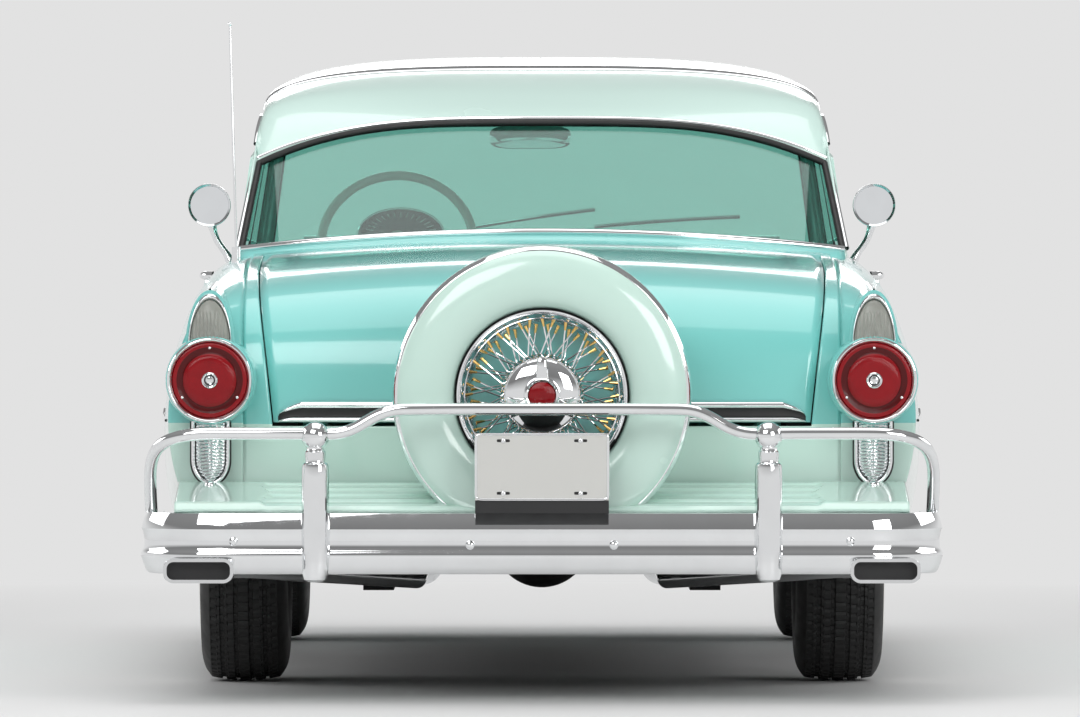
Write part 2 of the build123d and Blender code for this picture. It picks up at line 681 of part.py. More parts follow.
def build_grille():
    """The grille: an egg-crate of upright and level bars that fills the mouth."""
    half, low, high = MOUTH_HALF - SEAT_GAP, MOUTH_BOTTOM + SEAT_GAP, MOUTH_TOP - SEAT_GAP
    s0, s1 = GRILLE_STATION, GRILLE_STATION + 28
    rim = span_box(-half, half, s0, s1, low, high)
    grille = rim - span_box(-half + 12, half - 12, 0, OVERALL_LENGTH, low + 12, high - 12)
    for row in range(1, GRILLE_ROWS):
        z = low + (high - low) * row / GRILLE_ROWS
        grille = grille + span_box(-half + 6, half - 6, s0, s1, z - 3, z + 3)
    for column in range(1, GRILLE_COLUMNS):
        x = -half + 2 * half * column / GRILLE_COLUMNS
        grille = grille + span_box(x - 2, x + 2, s0 + 4, s1 - 4, low + 6, high - 6)
    write("grille", grille)


def band_slab():
    """The leaning slab that cuts the bright band out of the roof's skin."""
    rise = (1700 - BELT_Z) / (RAIL_Z - BELT_Z)
    drop = (BELT_Z - 900) / (RAIL_Z - BELT_Z)
    half = BAND_WIDTH / 2
    low = station(BAND_FOOT_STATION - BAND_LEAN * drop)
    high = station(BAND_FOOT_STATION + BAND_LEAN * rise)
    corners = [(0, low - half, 900), (0, low + half, 900), (0, high + half, 1700), (0, high - half, 1700)]
    return side_profile(Polyline(*corners, close=True).edges())


def build_greenhouse(outer):
    """The roof with its pillars, the glass in its openings and the bright band over the roof."""
    skin = greenhouse(0) - greenhouse(ROOF_WALL)
    above_belt = span_box(-1000, 1000, 1000, 4200, 950, 1700)
    roof = (skin & above_belt) - outer
    for cutter in windows().values():
        roof = roof - cutter
    roof = max(roof.solids(), key=lambda solid: solid.volume)
    write("roof", roof)
    pane = greenhouse(GLASS_DEPTH) - greenhouse(GLASS_DEPTH + GLASS_THICKNESS)
    cut = windows(GLASS_GAP)
    write("rear_glass", biggest((pane & cut["backlight"]) - outer))
    write("windshield", biggest((pane & cut["windshield"]) - outer))
    write("quarter_glass", (pane & cut["quarter"]).solids())
    drop_glass = (pane & windows(DOOR_GLASS_GAP)["door"]) - outer
    panes = sorted(drop_glass.solids(), key=lambda solid: solid.center().X)
    write("door_glass_left", panes[0])
    write("door_glass_right", panes[-1])
    band = (greenhouse(-BAND_THICKNESS) - greenhouse(-SEAT_GAP)) & band_slab()
    band = (band & span_box(-1000, 1000, 1000, 4200, 950, 1700)) - outer
    write("crown_band", max(band.solids(), key=lambda solid: solid.volume))


def bumper_solid(half, corner, wrap, bottom, top, depth):
    """A bumper bar with its face at Y = 0 looking to -Y, its ends wrapped forward."""
    def outline(inset):
        """The U-shaped outline at one inset."""
        x, y, r = half - inset, inset, corner - inset
        bend = r * (1 - cos(radians(45)))
        return [
            Line((-x, wrap, 0), (-x, y + r, 0)),
            ThreePointArc((-x, y + r, 0), (-x + bend, y + bend, 0), (-x + r, y, 0)),
            Line((-x + r, y, 0), (x - r, y, 0)),
            ThreePointArc((x - r, y, 0), (x - bend, y + bend, 0), (x, y + r, 0)),
            Line((x, y + r, 0), (x, wrap, 0)),
        ]
    closing = Line((-half, wrap, 0), (half, wrap, 0))
    block = extrude(Face(Wire(outline(0) + [closing])), amount=top - bottom, dir=(0, 0, 1))
    inner_half = half - depth
    inner_closing = Line((-inner_half, wrap, 0), (inner_half, wrap, 0))
    hollow = extrude(Face(Wire(outline(depth) + [inner_closing])), amount=top - bottom, dir=(0, 0, 1))
    middle = (top - bottom) / 2
    level = block.edges().filter_by(lambda edge: abs(abs(edge.center().Z - middle) - middle) < 1)
    outside = [edge for edge in level if abs(edge.center().Y - wrap) > 1]
    block = fillet(outside, BUMPER_ROUND)
    return (block - hollow).moved(Pos(0, 0, bottom))


def build_rear_bumper():
    """The rear bumper with its guards, rail, plate, apron and exhaust outlets."""
    face = BUMPER_REAR_STATION
    bar = bumper_solid(BUMPER_HALF_WIDTH, BUMPER_CORNER, REAR_BUMPER_WRAP, BUMPER_BOTTOM, BUMPER_TOP,
                       BUMPER_DEPTH)
    bar = bar.moved(Pos(0, station(face), 0))
    tip_y = station(face - TIP_PROUD)
    tip_face = Plane(origin=(EXHAUST_TIP_X, tip_y, EXHAUST_TIP_Z), x_dir=(1, 0, 0), z_dir=(0, 1, 0))
    w, h = EXHAUST_TIP_WIDTH, EXHAUST_TIP_HEIGHT
    tip = extrude(tip_face * RectangleRounded(w, h, h / 2 - 4), TIP_LENGTH)
    tip = tip - extrude(tip_face * RectangleRounded(w - 16, h - 16, h / 2 - 13), TIP_LENGTH - 10)
    clear = 2 * SEAT_GAP
    hole = extrude(tip_face * RectangleRounded(w + clear, h + clear, h / 2 - 4), TIP_LENGTH + 200)
    for cutter in both_sides(hole):
        bar = bar - cutter
    write("rear_bumper", bar)

    route = [(300, 3900, 262), (300, 1000, 262), (700, 520, 300), (EXHAUST_TIP_X, 220, EXHAUST_TIP_Z),
             (EXHAUST_TIP_X, face - TIP_PROUD + TIP_LENGTH - 5, EXHAUST_TIP_Z)]
    points = [(x, station(s), z) for x, s, z in route]
    pipe = tip
    for start, end in zip(points, points[1:]):
        pipe = pipe + rod(start, end, PIPE_RADIUS)
    for corner in points[1:-1]:
        pipe = pipe + Pos(*corner) * Sphere(PIPE_RADIUS)
    muffler = rod((300, station(2250), 262), (300, station(2800), 262), MUFFLER_RADIUS)
    write("exhaust", both_sides(pipe + muffler))

    r = GUARD_RADIUS
    neck = 24
    profile = Face(Wire([
        Line((0, 0, GUARD_BOTTOM), (16, 0, GUARD_BOTTOM)),
        TangentArc((r, 0, GUARD_BOTTOM + 60), (16, 0, GUARD_BOTTOM), tangent=(0, 0, -1)),
        Line((r, 0, GUARD_BOTTOM + 60), (r, 0, GUARD_SHOULDER)),
        Line((r, 0, GUARD_SHOULDER), (neck, 0, GUARD_SHOULDER + 12)),
        Line((neck, 0, GUARD_SHOULDER + 12), (neck, 0, RAIL_LOW_Z)),
        Line((neck, 0, RAIL_LOW_Z), (0, 0, RAIL_LOW_Z)),
        Line((0, 0, RAIL_LOW_Z), (0, 0, GUARD_BOTTOM)),
    ]))
    guard = revolve(profile, axis=Axis.Z) + Pos(0, 0, RAIL_LOW_Z) * Sphere(BALL_RADIUS)
    guard = guard.moved(Pos(GUARD_X, station(GUARD_RADIUS), 0))
    guard = guard - x_disc(0, 2 * GUARD_X, GUARD_RADIUS, RAIL_LOW_Z, RAIL_RADIUS + SEAT_GAP)
    write("bumper_guards", both_sides(guard))

    s = GUARD_RADIUS
    half_route = [(RAIL_END_X, RAIL_FOOT_STATION, BUMPER_TOP + SEAT_GAP), (RAIL_END_X, s, RAIL_LOW_Z),
                  (RAIL_DIP_X, s, RAIL_LOW_Z), (RAIL_CREST_X, s, RAIL_HIGH_Z)]
    route = half_route + [(-x, at, z) for x, at, z in reversed(half_route)]
    path = FilletPolyline(*[(x, station(at), z) for x, at, z in route], radius=RAIL_BEND)
    section = Plane(origin=path @ 0, z_dir=path % 0) * Circle(RAIL_RADIUS)
    rail = sweep(section, path=path)
    foot = span_box(RAIL_END_X - 60, RAIL_END_X + 60, 0, 600, BUMPER_TOP - 100, BUMPER_TOP + SEAT_GAP)
    for cutter in both_sides(foot):
        rail = rail - cutter
    write("bumper_rail", rail)

    plate = span_box(-PLATE_WIDTH / 2, PLATE_WIDTH / 2, PLATE_STATION, PLATE_STATION + PLATE_THICKNESS,
                     PLATE_Z - PLATE_HEIGHT / 2, PLATE_Z + PLATE_HEIGHT / 2)
    back = PLATE_STATION + PLATE_THICKNESS + SEAT_GAP
    foot_z = BUMPER_TOP + SEAT_GAP
    bracket = span_box(-PLATE_WIDTH / 2, PLATE_WIDTH / 2, back, back + 6, foot_z, PLATE_Z + PLATE_HEIGHT / 2)
    bracket = bracket + span_box(-PLATE_WIDTH / 2, PLATE_WIDTH / 2, PLATE_STATION, face + BUMPER_DEPTH,
                                 foot_z, foot_z + 28)
    for x in (-PLATE_HOLE_X / 2, PLATE_HOLE_X / 2):
        for z in (PLATE_Z - PLATE_HOLE_Z / 2, PLATE_Z + PLATE_HOLE_Z / 2):
            hole = y_disc(x, 0, back + 20, z, PLATE_HOLE_RADIUS)
            plate = plate - hole
            bracket = bracket - hole
    write("number_plate", plate)
    write("plate_bracket", bracket)

    s0, s1 = face + BUMPER_DEPTH + SEAT_GAP, TAIL_END[0] - SEAT_GAP
    slope = [(0, station(s0), APRON_REAR_Z - APRON_THICKNESS),
             (0, station(s1), APRON_FRONT_Z - APRON_THICKNESS),
             (0, station(s1), APRON_FRONT_Z), (0, station(s0), APRON_REAR_Z)]
    apron = side_profile(Polyline(*slope, close=True).edges())
    apron = apron & span_box(-APRON_HALF, APRON_HALF, 0, 600, 300, 600)
    apron = apron - y_disc(0, 0, 600, SPARE_Z, SPARE_RADIUS + 8)
    write("rear_apron", apron)


def build_spare():
    """The covered spare: a dished cover ring, its wire wheel and the post that carries them."""
    r, t, bore = SPARE_RADIUS, SPARE_THICKNESS, RIM_RADIUS
    profile = Face(Wire([
        Line((t / 2, 0, bore), (-t / 2 + 26, 0, bore)),
        ThreePointArc((-t / 2 + 26, 0, bore), (-t / 2, 0, (bore + r) / 2), (-t / 2 + 34, 0, r)),
        Line((-t / 2 + 34, 0, r), (t / 2 - 12, 0, r)),
        ThreePointArc((t / 2 - 12, 0, r), (t / 2 - 3, 0, r - 3), (t / 2, 0, r - 12)),
        Line((t / 2, 0, r - 12), (t / 2, 0, bore)),
    ]))
    middle = SPARE_REAR_STATION + t / 2
    face_rear = Pos(0, station(middle), SPARE_Z) * Rot(0, 0, 90)
    write("spare_cover", face_rear * revolve(profile, axis=Axis.X))
    front = SPARE_REAR_STATION + t
    wheel = Pos(0, station(middle), SPARE_Z) * Rot(0, 0, -90) * wheel_solid()
    write("spare_wheel", wheel)
    post = span_box(-45, 45, front + SEAT_GAP, front + SEAT_GAP + 12, 345, SPARE_Z + 60)
    web_face = middle - (RIM_WIDTH / 2 - 58)
    post = post + y_disc(0, web_face + SEAT_GAP, front + 1, SPARE_Z, HUB_RADIUS)
    reach = FRAME_RAIL_X - FRAME_RAIL_WIDTH / 2 - SEAT_GAP
    arm = span_box(-reach, reach, front + SEAT_GAP, front + SEAT_GAP + 40, 345, 395)
    write("spare_carrier", post + arm)


def build_lamps():
    """Tail lamps, reversing lamps, their bright trim, and the headlamps."""
    rear = TAIL_REAR_STATION
    lens = y_disc(TAIL_X, rear, rear + BEZEL_DEPTH - SEAT_GAP, TAIL_Z, TAIL_LENS_RADIUS)
    bezel = y_disc(TAIL_X, rear + 4, rear + BEZEL_DEPTH - SEAT_GAP, TAIL_Z, TAIL_BEZEL_RADIUS)
    bezel = bezel - y_disc(TAIL_X, 0, 600, TAIL_Z, TAIL_LENS_RADIUS + SEAT_GAP)
    backup = teardrop(TAIL_X, rear + 22, BACKUP_BASE_Z, BACKUP_TOP_Z, BACKUP_HALF_WIDTH,
                      LAMP_DEPTH - 22 - SEAT_GAP)
    backup = backup - y_disc(TAIL_X, 0, 600, TAIL_Z, TAIL_BEZEL_RADIUS + POD_LIP + SEAT_GAP)
    spear_y = station(TAIL_END[0] - SEAT_GAP)
    top, point, half = TAIL_Z - TAIL_BEZEL_RADIUS - 20, SPEAR_BOTTOM_Z, SPEAR_HALF
    tip = (TAIL_X, spear_y, point)
    corners = [(TAIL_X - half, spear_y, top), (TAIL_X + half, spear_y, top)]
    bulges = [(TAIL_X + share * half, spear_y, top - 75) for share in (-0.86, 0.86)]
    shield = Face(Wire([
        Line(corners[0], corners[1]),
        ThreePointArc(corners[1], bulges[1], tip),
        ThreePointArc(tip, bulges[0], corners[0]),
    ]))
    spear = extrude(shield, amount=SPEAR_DEPTH, dir=(0, -1, 0))
    write("tail_lenses", both_sides(lens))
    write("tail_trim", both_sides(bezel) + both_sides(spear))
    write("backup_lenses", both_sides(backup))
    front = HEADLAMP_FRONT_STATION
    bulb = y_disc(HEADLAMP_X, front - 110 + SEAT_GAP, front - 30, HEADLAMP_Z, HEADLAMP_RADIUS - SEAT_GAP)
    write("headlamps", both_sides(bulb))


def build_front_bumper():
    """The front bumper, a mirror of the rear bar, with two upright guards."""
    bar = bumper_solid(BUMPER_HALF_WIDTH - 8, BUMPER_CORNER, FRONT_BUMPER_WRAP, FRONT_BUMPER_BOTTOM,
                       FRONT_BUMPER_TOP, BUMPER_DEPTH)
    guard = Pos(FRONT_GUARD_X, 0, 0) * Box(70, 60, FRONT_BUMPER_TOP - FRONT_BUMPER_BOTTOM + 70)
    guard = fillet(guard.edges().filter_by(Axis.Z), 24)
    guard = guard.moved(Pos(0, 30 - FRONT_GUARD_PROUD, (FRONT_BUMPER_TOP + FRONT_BUMPER_BOTTOM) / 2 + 20))
    for solid in both_sides(guard):
        bar = bar + solid
    bar = Pos(0, station(FRONT_BUMPER_FACE), 0) * Rot(0, 0, 180) * bar
    write("front_bumper", bar)


def build_wheels():
    """Four tyres and four wire wheels, each about its own axle."""
    tyre, wheel = tyre_solid(), wheel_solid()
    axles = [("rear", REAR_TRACK, REAR_AXLE_STATION), ("front", FRONT_TRACK, FRONT_AXLE_STATION)]
    for end, track, at in axles:
        for side, word in [(1, "right"), (-1, "left")]:
            place = Pos(side * track / 2, station(at), TYRE_RADIUS)
            turned = place if side > 0 else place * Rot(0, 0, 180)
            write(f"tyre_{end}_{word}", turned * tyre)
            write(f"wheel_{end}_{word}", turned * wheel)


def rail_profile():
    """The side outline of a frame rail: stations and heights of its lower edge."""
    return [
        (BUMPER_REAR_STATION + BUMPER_DEPTH + SEAT_GAP, 320), (950, 320), (1180, 430), (1800, 430),
        (1950, FRAME_LOW_Z), (3900, FRAME_LOW_Z), (4100, 300), (FRAME_FRONT_STATION, 300),
    ]


def build_chassis():
    """Frame, axles, springs, arms, knuckles, engine, shaft and tank."""
    height = FRAME_RAIL_HEIGHT
    low = [(0, station(s), z) for s, z in rail_profile()]
    high = [(0, y, z + height) for _, y, z in reversed(low)]
    face = Face(Wire(Polyline(*low, *high, close=True).edges()))
    rail = extrude(face, amount=FRAME_RAIL_WIDTH, dir=(1, 0, 0))
    rail = rail.moved(Pos(FRAME_RAIL_X - FRAME_RAIL_WIDTH / 2, 0, 0))
    frame = rail + mirror(rail, about=Plane.YZ)
    inner = FRAME_RAIL_X
    for s0, s1, z0, z1 in [(1230, 1290, 440, 530),
                           (FRONT_AXLE_STATION - 50, FRONT_AXLE_STATION + 50, 236, 345),
                           (4960, 5020, 310, 400)]:
        frame = frame + span_box(-inner, inner, s0, s1, z0, z1)
    for side in (1, -1):
        x0, x1 = sorted((side * (inner - 38), side * (inner + 38)))
        frame = frame + span_box(x0, x1, FRONT_AXLE_STATION - 50, FRONT_AXLE_STATION + 50, 236, 345)
    write("frame", frame)

    outer_x = FRAME_RAIL_X + FRAME_RAIL_WIDTH / 2 + SEAT_GAP
    s0, s1 = FRONT_AXLE_STATION - 45, FRONT_AXLE_STATION + 45
    pin_low, pin_high = TYRE_RADIUS - 110, TYRE_RADIUS + 110
    arm = span_box(outer_x, KINGPIN_X + 22, s0, s1, pin_low - 24, pin_low - SEAT_GAP)
    arm = arm + span_box(outer_x, KINGPIN_X + 22, s0, s1, pin_high + SEAT_GAP, pin_high + 24)
    arm = arm + span_box(outer_x, outer_x + 14, s0, s1, pin_low - 24, pin_high + 24)
    write("front_arms", both_sides(arm))

    web = RIM_WIDTH / 2 - 58
    face_x = FRONT_TRACK / 2 + web - SEAT_GAP
    at = (KINGPIN_X, station(FRONT_AXLE_STATION))
    pin = rod((*at, pin_low), (*at, pin_high), KINGPIN_RADIUS)
    spindle = x_disc(KINGPIN_X, face_x, FRONT_AXLE_STATION, TYRE_RADIUS, 30)
    drum_solid = x_disc(FRONT_TRACK / 2 - 40, face_x, FRONT_AXLE_STATION, TYRE_RADIUS, FRONT_DRUM_RADIUS)
    right, left = both_sides(pin + spindle + drum_solid)
    write("knuckle_right", right)
    write("knuckle_left", left)

    end_x = REAR_TRACK / 2 + web - SEAT_GAP
    drum_x, ball, tube = REAR_TRACK / 2 - 50, DIFFERENTIAL_RADIUS, AXLE_TUBE_RADIUS
    ball_x = sqrt(ball ** 2 - tube ** 2)
    outline = [(-end_x, 0), (-end_x, DRUM_RADIUS), (-drum_x, DRUM_RADIUS), (-drum_x, tube), (-ball_x, tube)]
    left_half = [(x, 0, z) for x, z in outline]
    right_half = [(-x, 0, z) for x, z in reversed(outline)]
    profile = Face(Wire([
        *Polyline(*left_half).edges(),
        ThreePointArc(left_half[-1], (0, 0, ball), right_half[0]),
        *Polyline(*right_half).edges(),
        Line(right_half[-1], left_half[0]),
    ]))
    write("rear_axle", Pos(0, station(REAR_AXLE_STATION), TYRE_RADIUS) * revolve(profile, axis=Axis.X))

    low_z = TYRE_RADIUS - AXLE_TUBE_RADIUS - SEAT_GAP
    y0, ym, y1 = station(SPRING_REAR_STATION), station(REAR_AXLE_STATION), station(SPRING_FRONT_STATION)
    leaf = Face(Wire([
        ThreePointArc((0, y0, SPRING_EYE_Z), (0, ym, low_z), (0, y1, SPRING_EYE_Z)),
        Line((0, y1, SPRING_EYE_Z), (0, y1, SPRING_EYE_Z - 18)),
        ThreePointArc((0, y1, SPRING_EYE_Z - 18), (0, ym, low_z - 24), (0, y0, SPRING_EYE_Z - 18)),
        Line((0, y0, SPRING_EYE_Z - 18), (0, y0, SPRING_EYE_Z)),
    ]))
    spring = extrude(leaf, amount=60, dir=(1, 0, 0)).moved(Pos(SPRING_X - 30, 0, 0))
    for eye in (SPRING_REAR_STATION, SPRING_FRONT_STATION):
        spring = spring + x_disc(outer_x, SPRING_X + 30, eye, SPRING_EYE_Z - 9, 16)
    write("leaf_springs", both_sides(spring))

    block = span_box(-230, 230, 3960, 4650, 345 + SEAT_GAP, 850)
    pan = span_box(-150, 150, 3960, FRONT_AXLE_STATION - 60, 240, 350)
    gearbox = span_box(-60, 60, GEARBOX_REAR_STATION, 3970, 225, 400)
    write("engine", block + pan + gearbox)
    shaft_start = (0, station(GEARBOX_REAR_STATION) - SEAT_GAP, 300)
    shaft_end = (0, station(REAR_AXLE_STATION + DIFFERENTIAL_RADIUS) + 1, TYRE_RADIUS)
    shaft = rod(shaft_start, shaft_end, SHAFT_RADIUS)
    differential = Pos(0, station(REAR_AXLE_STATION), TYRE_RADIUS) * Sphere(DIFFERENTIAL_RADIUS + SEAT_GAP)
    gearbox_space = span_box(-100, 100, GEARBOX_REAR_STATION - SEAT_GAP, 3970, 100, 500)
    write("driveshaft", shaft - differential - gearbox_space)
    write("fuel_tank", span_box(-330, 330, 560, 1080, 300, BOOT_FLOOR_Z - SEAT_GAP))


def build_floor():
    """The floor pan: cabin floor with its sills and tunnel, a riser and the raised boot floor."""
    top = FLOOR_Z + FLOOR_THICKNESS
    boot_top = BOOT_FLOOR_Z + BOOT_FLOOR_THICKNESS
    floor = span_box(-FLOOR_HALF, FLOOR_HALF, RISER_STATION, FIREWALL_STATION - SEAT_GAP, FLOOR_Z, top)
    floor = floor + span_box(-SILL_HALF, SILL_HALF, DOOR_REAR_STATION, DOOR_FRONT_STATION, FLOOR_Z - 25, top)
    tunnel = span_box(-TUNNEL_HALF, TUNNEL_HALF, RISER_STATION, FIREWALL_STATION - SEAT_GAP, FLOOR_Z,
                      top + TUNNEL_RISE)
    riser_front = RISER_STATION + BOOT_FLOOR_THICKNESS
    floor = floor + tunnel
    half = BOOT_FLOOR_HALF
    floor = floor + span_box(-half, half, RISER_STATION, riser_front, FLOOR_Z, boot_top)
    boot_rear = BODY_SECTIONS[0][0] + END_WALL + SEAT_GAP
    floor = floor + span_box(-half, half, boot_rear, riser_front, BOOT_FLOOR_Z, boot_top)
    channel = span_box(-TUNNEL_HALF + 14, TUNNEL_HALF - 14, RISER_STATION - 50, FIREWALL_STATION + 50, 0,
                       top + 86)
    low_rails = span_box(-SILL_HALF, SILL_HALF, DOOR_REAR_STATION - 1, DOOR_FRONT_STATION + 1, 0, FLOOR_Z)
    keep_sills = span_box(-FLOOR_HALF + 60, FLOOR_HALF - 60, 0, OVERALL_LENGTH, 0, FLOOR_Z)
    floor = floor - channel - (low_rails & keep_sills)
    write("floor_pan", floor)


def bench(half, s_back, s_front, z_low, z_seat, z_back, depth, lean):
    """A bench seat: a rounded cushion and a leaning back, as one solid."""
    cushion = fillet(span_box(-half, half, s_back, s_front, z_low, z_seat).edges(), 25)
    corners = [(s_back, z_low), (s_back + depth, z_low),
               (s_back + depth - lean, z_back), (s_back - lean, z_back)]
    wire = Polyline(*[(0, station(s), z) for s, z in corners], close=True)
    back = extrude(Face(Wire(wire.edges())), amount=2 * half, dir=(1, 0, 0)).moved(Pos(-half, 0, 0))
    return cushion + fillet(back.edges(), 25)


def build_interior():
    """Seats, parcel shelf, dashboard, steering column and wheel."""
    top = FLOOR_Z + FLOOR_THICKNESS
    seat = bench(SEAT_HALF, *FRONT_SEAT_STATIONS, top + SEAT_UNDERSIDE, FRONT_SEAT_TOP, FRONT_BACK_TOP,
                 FRONT_BACK_DEPTH, FRONT_BACK_LEAN)
    for x in (-SEAT_FOOT_X, SEAT_FOOT_X):
        seat = seat + span_box(x - SEAT_FOOT_HALF, x + SEAT_FOOT_HALF, *SEAT_FEET_STATIONS, top + SEAT_GAP,
                               top + SEAT_UNDERSIDE + 10)
    write("front_seat", seat)
    boot_top = BOOT_FLOOR_Z + BOOT_FLOOR_THICKNESS
    write("rear_seat", bench(REAR_SEAT_HALF, *REAR_SEAT_STATIONS, boot_top + SEAT_GAP, REAR_SEAT_TOP,
                             SHELF_Z - SEAT_GAP, REAR_BACK_DEPTH, REAR_BACK_LEAN))
    write("parcel_shelf", span_box(-SHELF_HALF, SHELF_HALF, *SHELF_STATIONS, SHELF_Z,
                                   SHELF_Z + SHELF_THICKNESS))
    s0, s1 = DASH_STATION, FIREWALL_STATION - SEAT_GAP
    slab = span_box(-DASH_HALF, DASH_HALF, s0, s1, DASH_BOTTOM, DASH_STEP_Z)
    top_slab = span_box(-DASH_TOP_HALF, DASH_TOP_HALF, s0, DASH_TOP_FRONT_STATION, DASH_STEP_Z - 10, DASH_TOP)
    hump = x_disc(STEERING_WHEEL_X - CLUSTER_HALF, STEERING_WHEEL_X + CLUSTER_HALF,
                  s0 + CLUSTER_RADIUS + 10, DASH_TOP, CLUSTER_RADIUS)
    write("dashboard", slab + top_slab + hump)
    rake = radians(STEERING_RAKE)
    centre = Vector(STEERING_WHEEL_X, station(STEERING_WHEEL_STATION), STEERING_WHEEL_Z)
    along = Vector(0, cos(rake), -sin(rake))
    reach = (station(s0) - centre.Y) / cos(rake)
    hub_end = centre + along * (30 + SEAT_GAP)
    column = rod(tuple(hub_end), tuple(centre + along * (reach + 120)), 24)
    write("steering_column", column - span_box(-900, 900, s0 - SEAT_GAP, 4000, 0, CUT_TOP))
    plane = Plane(origin=centre, x_dir=(1, 0, 0), z_dir=along)
    wheel = plane * Rot(0, 0, 90) * Torus(STEERING_WHEEL_RADIUS - 12, 12)
    wheel = wheel + rod(tuple(centre - along * 20), tuple(centre + along * 30), 34)
    for angle in (0, 180):
        turn = radians(angle)
        tip = plane.from_local_coords((cos(turn) * (STEERING_WHEEL_RADIUS - 12), sin(turn) * 60, 0))
        wheel = wheel + rod(tuple(centre), tuple(tip), 8)
    write("steering_wheel", wheel)


def build_fittings(doors, rear):
    """Door mirrors and the mast aerial, each seated on its panel."""
    head_x, head_z, at = MIRROR_X, MIRROR_Z, MIRROR_STATION
    head = y_disc(head_x, at, at + 22, head_z, MIRROR_RADIUS)
    plane = Plane(origin=(head_x, station(at + 22), head_z), z_dir=(0, 1, 0))
    head = head + plane * Cone(MIRROR_RADIUS, 14, 62, align=(Align.CENTER, Align.CENTER, Align.MIN))
    stalk_y = station(at + 30)
    stalk = rod((MIRROR_FOOT_X, stalk_y, 1000), (head_x, stalk_y, head_z - MIRROR_RADIUS + 12), 11)
    right, left = both_sides(head + stalk)
    write("mirror_right", biggest(right - doors[1]))
    write("mirror_left", biggest(left - doors[-1]))
    y = station(AERIAL_STATION)
    base = rod((AERIAL_X, y, 950), (AERIAL_X - 1, y, 1055), 11)
    mast = rod((AERIAL_X - 1, y, 1050), (AERIAL_X - AERIAL_LEAN, y, AERIAL_TIP_Z), 3.2)
    tip = Pos(AERIAL_X - AERIAL_LEAN, y, AERIAL_TIP_Z) * Sphere(5)
    write("aerial", biggest(base + mast + tip - rear))


def biggest(shape):
    """The largest solid of a cut shape."""
    return max(shape.solids(), key=lambda solid: solid.volume)


def main():
    """Builds every node in turn."""
    os.makedirs("parts", exist_ok=True)
    outer = body_outer()
    shell = build_shell(outer)
    rear = build_rear_body(shell)
    doors = build_body_panels(shell)
    build_greenhouse(outer)
    build_grille()
    build_lamps()
    build_rear_bumper()
    build_front_bumper()
    build_spare()
    build_wheels()
    build_chassis()
    build_floor()
    build_interior()
    build_fittings(doors, rear)


main()
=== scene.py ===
import json
import logging
import math
from dataclasses import dataclass, field
from enum import Enum
from typing import Callable, Sequence

import bmesh
import bpy
import numpy as np
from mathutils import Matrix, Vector

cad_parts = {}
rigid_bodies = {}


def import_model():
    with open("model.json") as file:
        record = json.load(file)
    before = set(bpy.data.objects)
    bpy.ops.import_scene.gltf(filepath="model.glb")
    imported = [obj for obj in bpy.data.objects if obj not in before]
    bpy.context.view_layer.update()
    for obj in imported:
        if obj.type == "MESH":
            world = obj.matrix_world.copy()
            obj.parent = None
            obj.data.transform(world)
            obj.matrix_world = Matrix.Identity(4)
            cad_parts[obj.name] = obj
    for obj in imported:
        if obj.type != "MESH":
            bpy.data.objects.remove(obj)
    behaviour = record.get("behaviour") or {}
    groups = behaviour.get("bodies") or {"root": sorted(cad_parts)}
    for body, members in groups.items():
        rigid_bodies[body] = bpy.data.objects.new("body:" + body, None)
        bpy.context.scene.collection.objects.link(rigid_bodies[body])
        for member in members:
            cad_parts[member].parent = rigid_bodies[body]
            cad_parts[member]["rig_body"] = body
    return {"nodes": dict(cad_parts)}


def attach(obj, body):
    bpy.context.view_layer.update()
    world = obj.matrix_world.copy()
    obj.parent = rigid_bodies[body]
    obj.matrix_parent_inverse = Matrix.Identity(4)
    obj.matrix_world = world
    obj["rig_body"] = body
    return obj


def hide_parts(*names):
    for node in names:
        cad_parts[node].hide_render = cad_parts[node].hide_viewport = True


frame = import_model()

# The looks of a 1950s two-door hardtop with a carried spare wheel.
# Metres, in the part's own frame: +Y forward, +X to the car's right, +Z up. A station is a distance ahead
# of the car's rearmost point, and LENGTH / 2 is taken off it to give Y.

LOG = logging.getLogger("car")
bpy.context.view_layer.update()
LENGTH = 5.264
Array = np.ndarray
Point = tuple[float, float, float]


class Side(Enum):
    """The car's two sides, by the sign of X."""
    RIGHT = 1
    LEFT = -1

    @property
    def word(self) -> str:
        """The side's name as pieces and bodies write it."""
        return self.name.lower()


class Shade(Enum):
    """How a mesh's normals run across its edges."""
    SMOOTH = 180.0
    CREASED = 32.0
    CRISP = 18.0


# Numbers on whole arrays


def spline(knots: Sequence[float], values: Sequence, at: Array) -> Array:
    """A natural cubic spline: between knots a cubic whose second slope runs on into its neighbours.

    Args:
        knots: rising places, k of them.
        values: k values, or k rows of values.
        at: where to read the curve.
    Returns:
        The values there, one row for each place.
    """
    x = np.asarray(knots, float)
    y = np.asarray(values, float).reshape(len(x), -1)
    at = np.asarray(at, float)
    h = np.diff(x)
    slope = np.diff(y, axis=0) / h[:, None]
    system = np.eye(len(x))
    inner = np.arange(1, len(x) - 1)
    system[inner, inner - 1] = h[:-1]
    system[inner, inner] = 2 * (h[:-1] + h[1:])
    system[inner, inner + 1] = h[1:]
    right = np.zeros_like(y)
    right[1:-1] = 6 * np.diff(slope, axis=0)
    bend = np.linalg.solve(system, right)
    j = np.clip(np.searchsorted(x, at) - 1, 0, len(x) - 2)
    t, step = (at - x[j])[:, None], h[j][:, None]
    first = slope[j] - step * (2 * bend[j] + bend[j + 1]) / 6
    return y[j] + first * t + bend[j] / 2 * t ** 2 + (bend[j + 1] - bend[j]) / (6 * step) * t ** 3


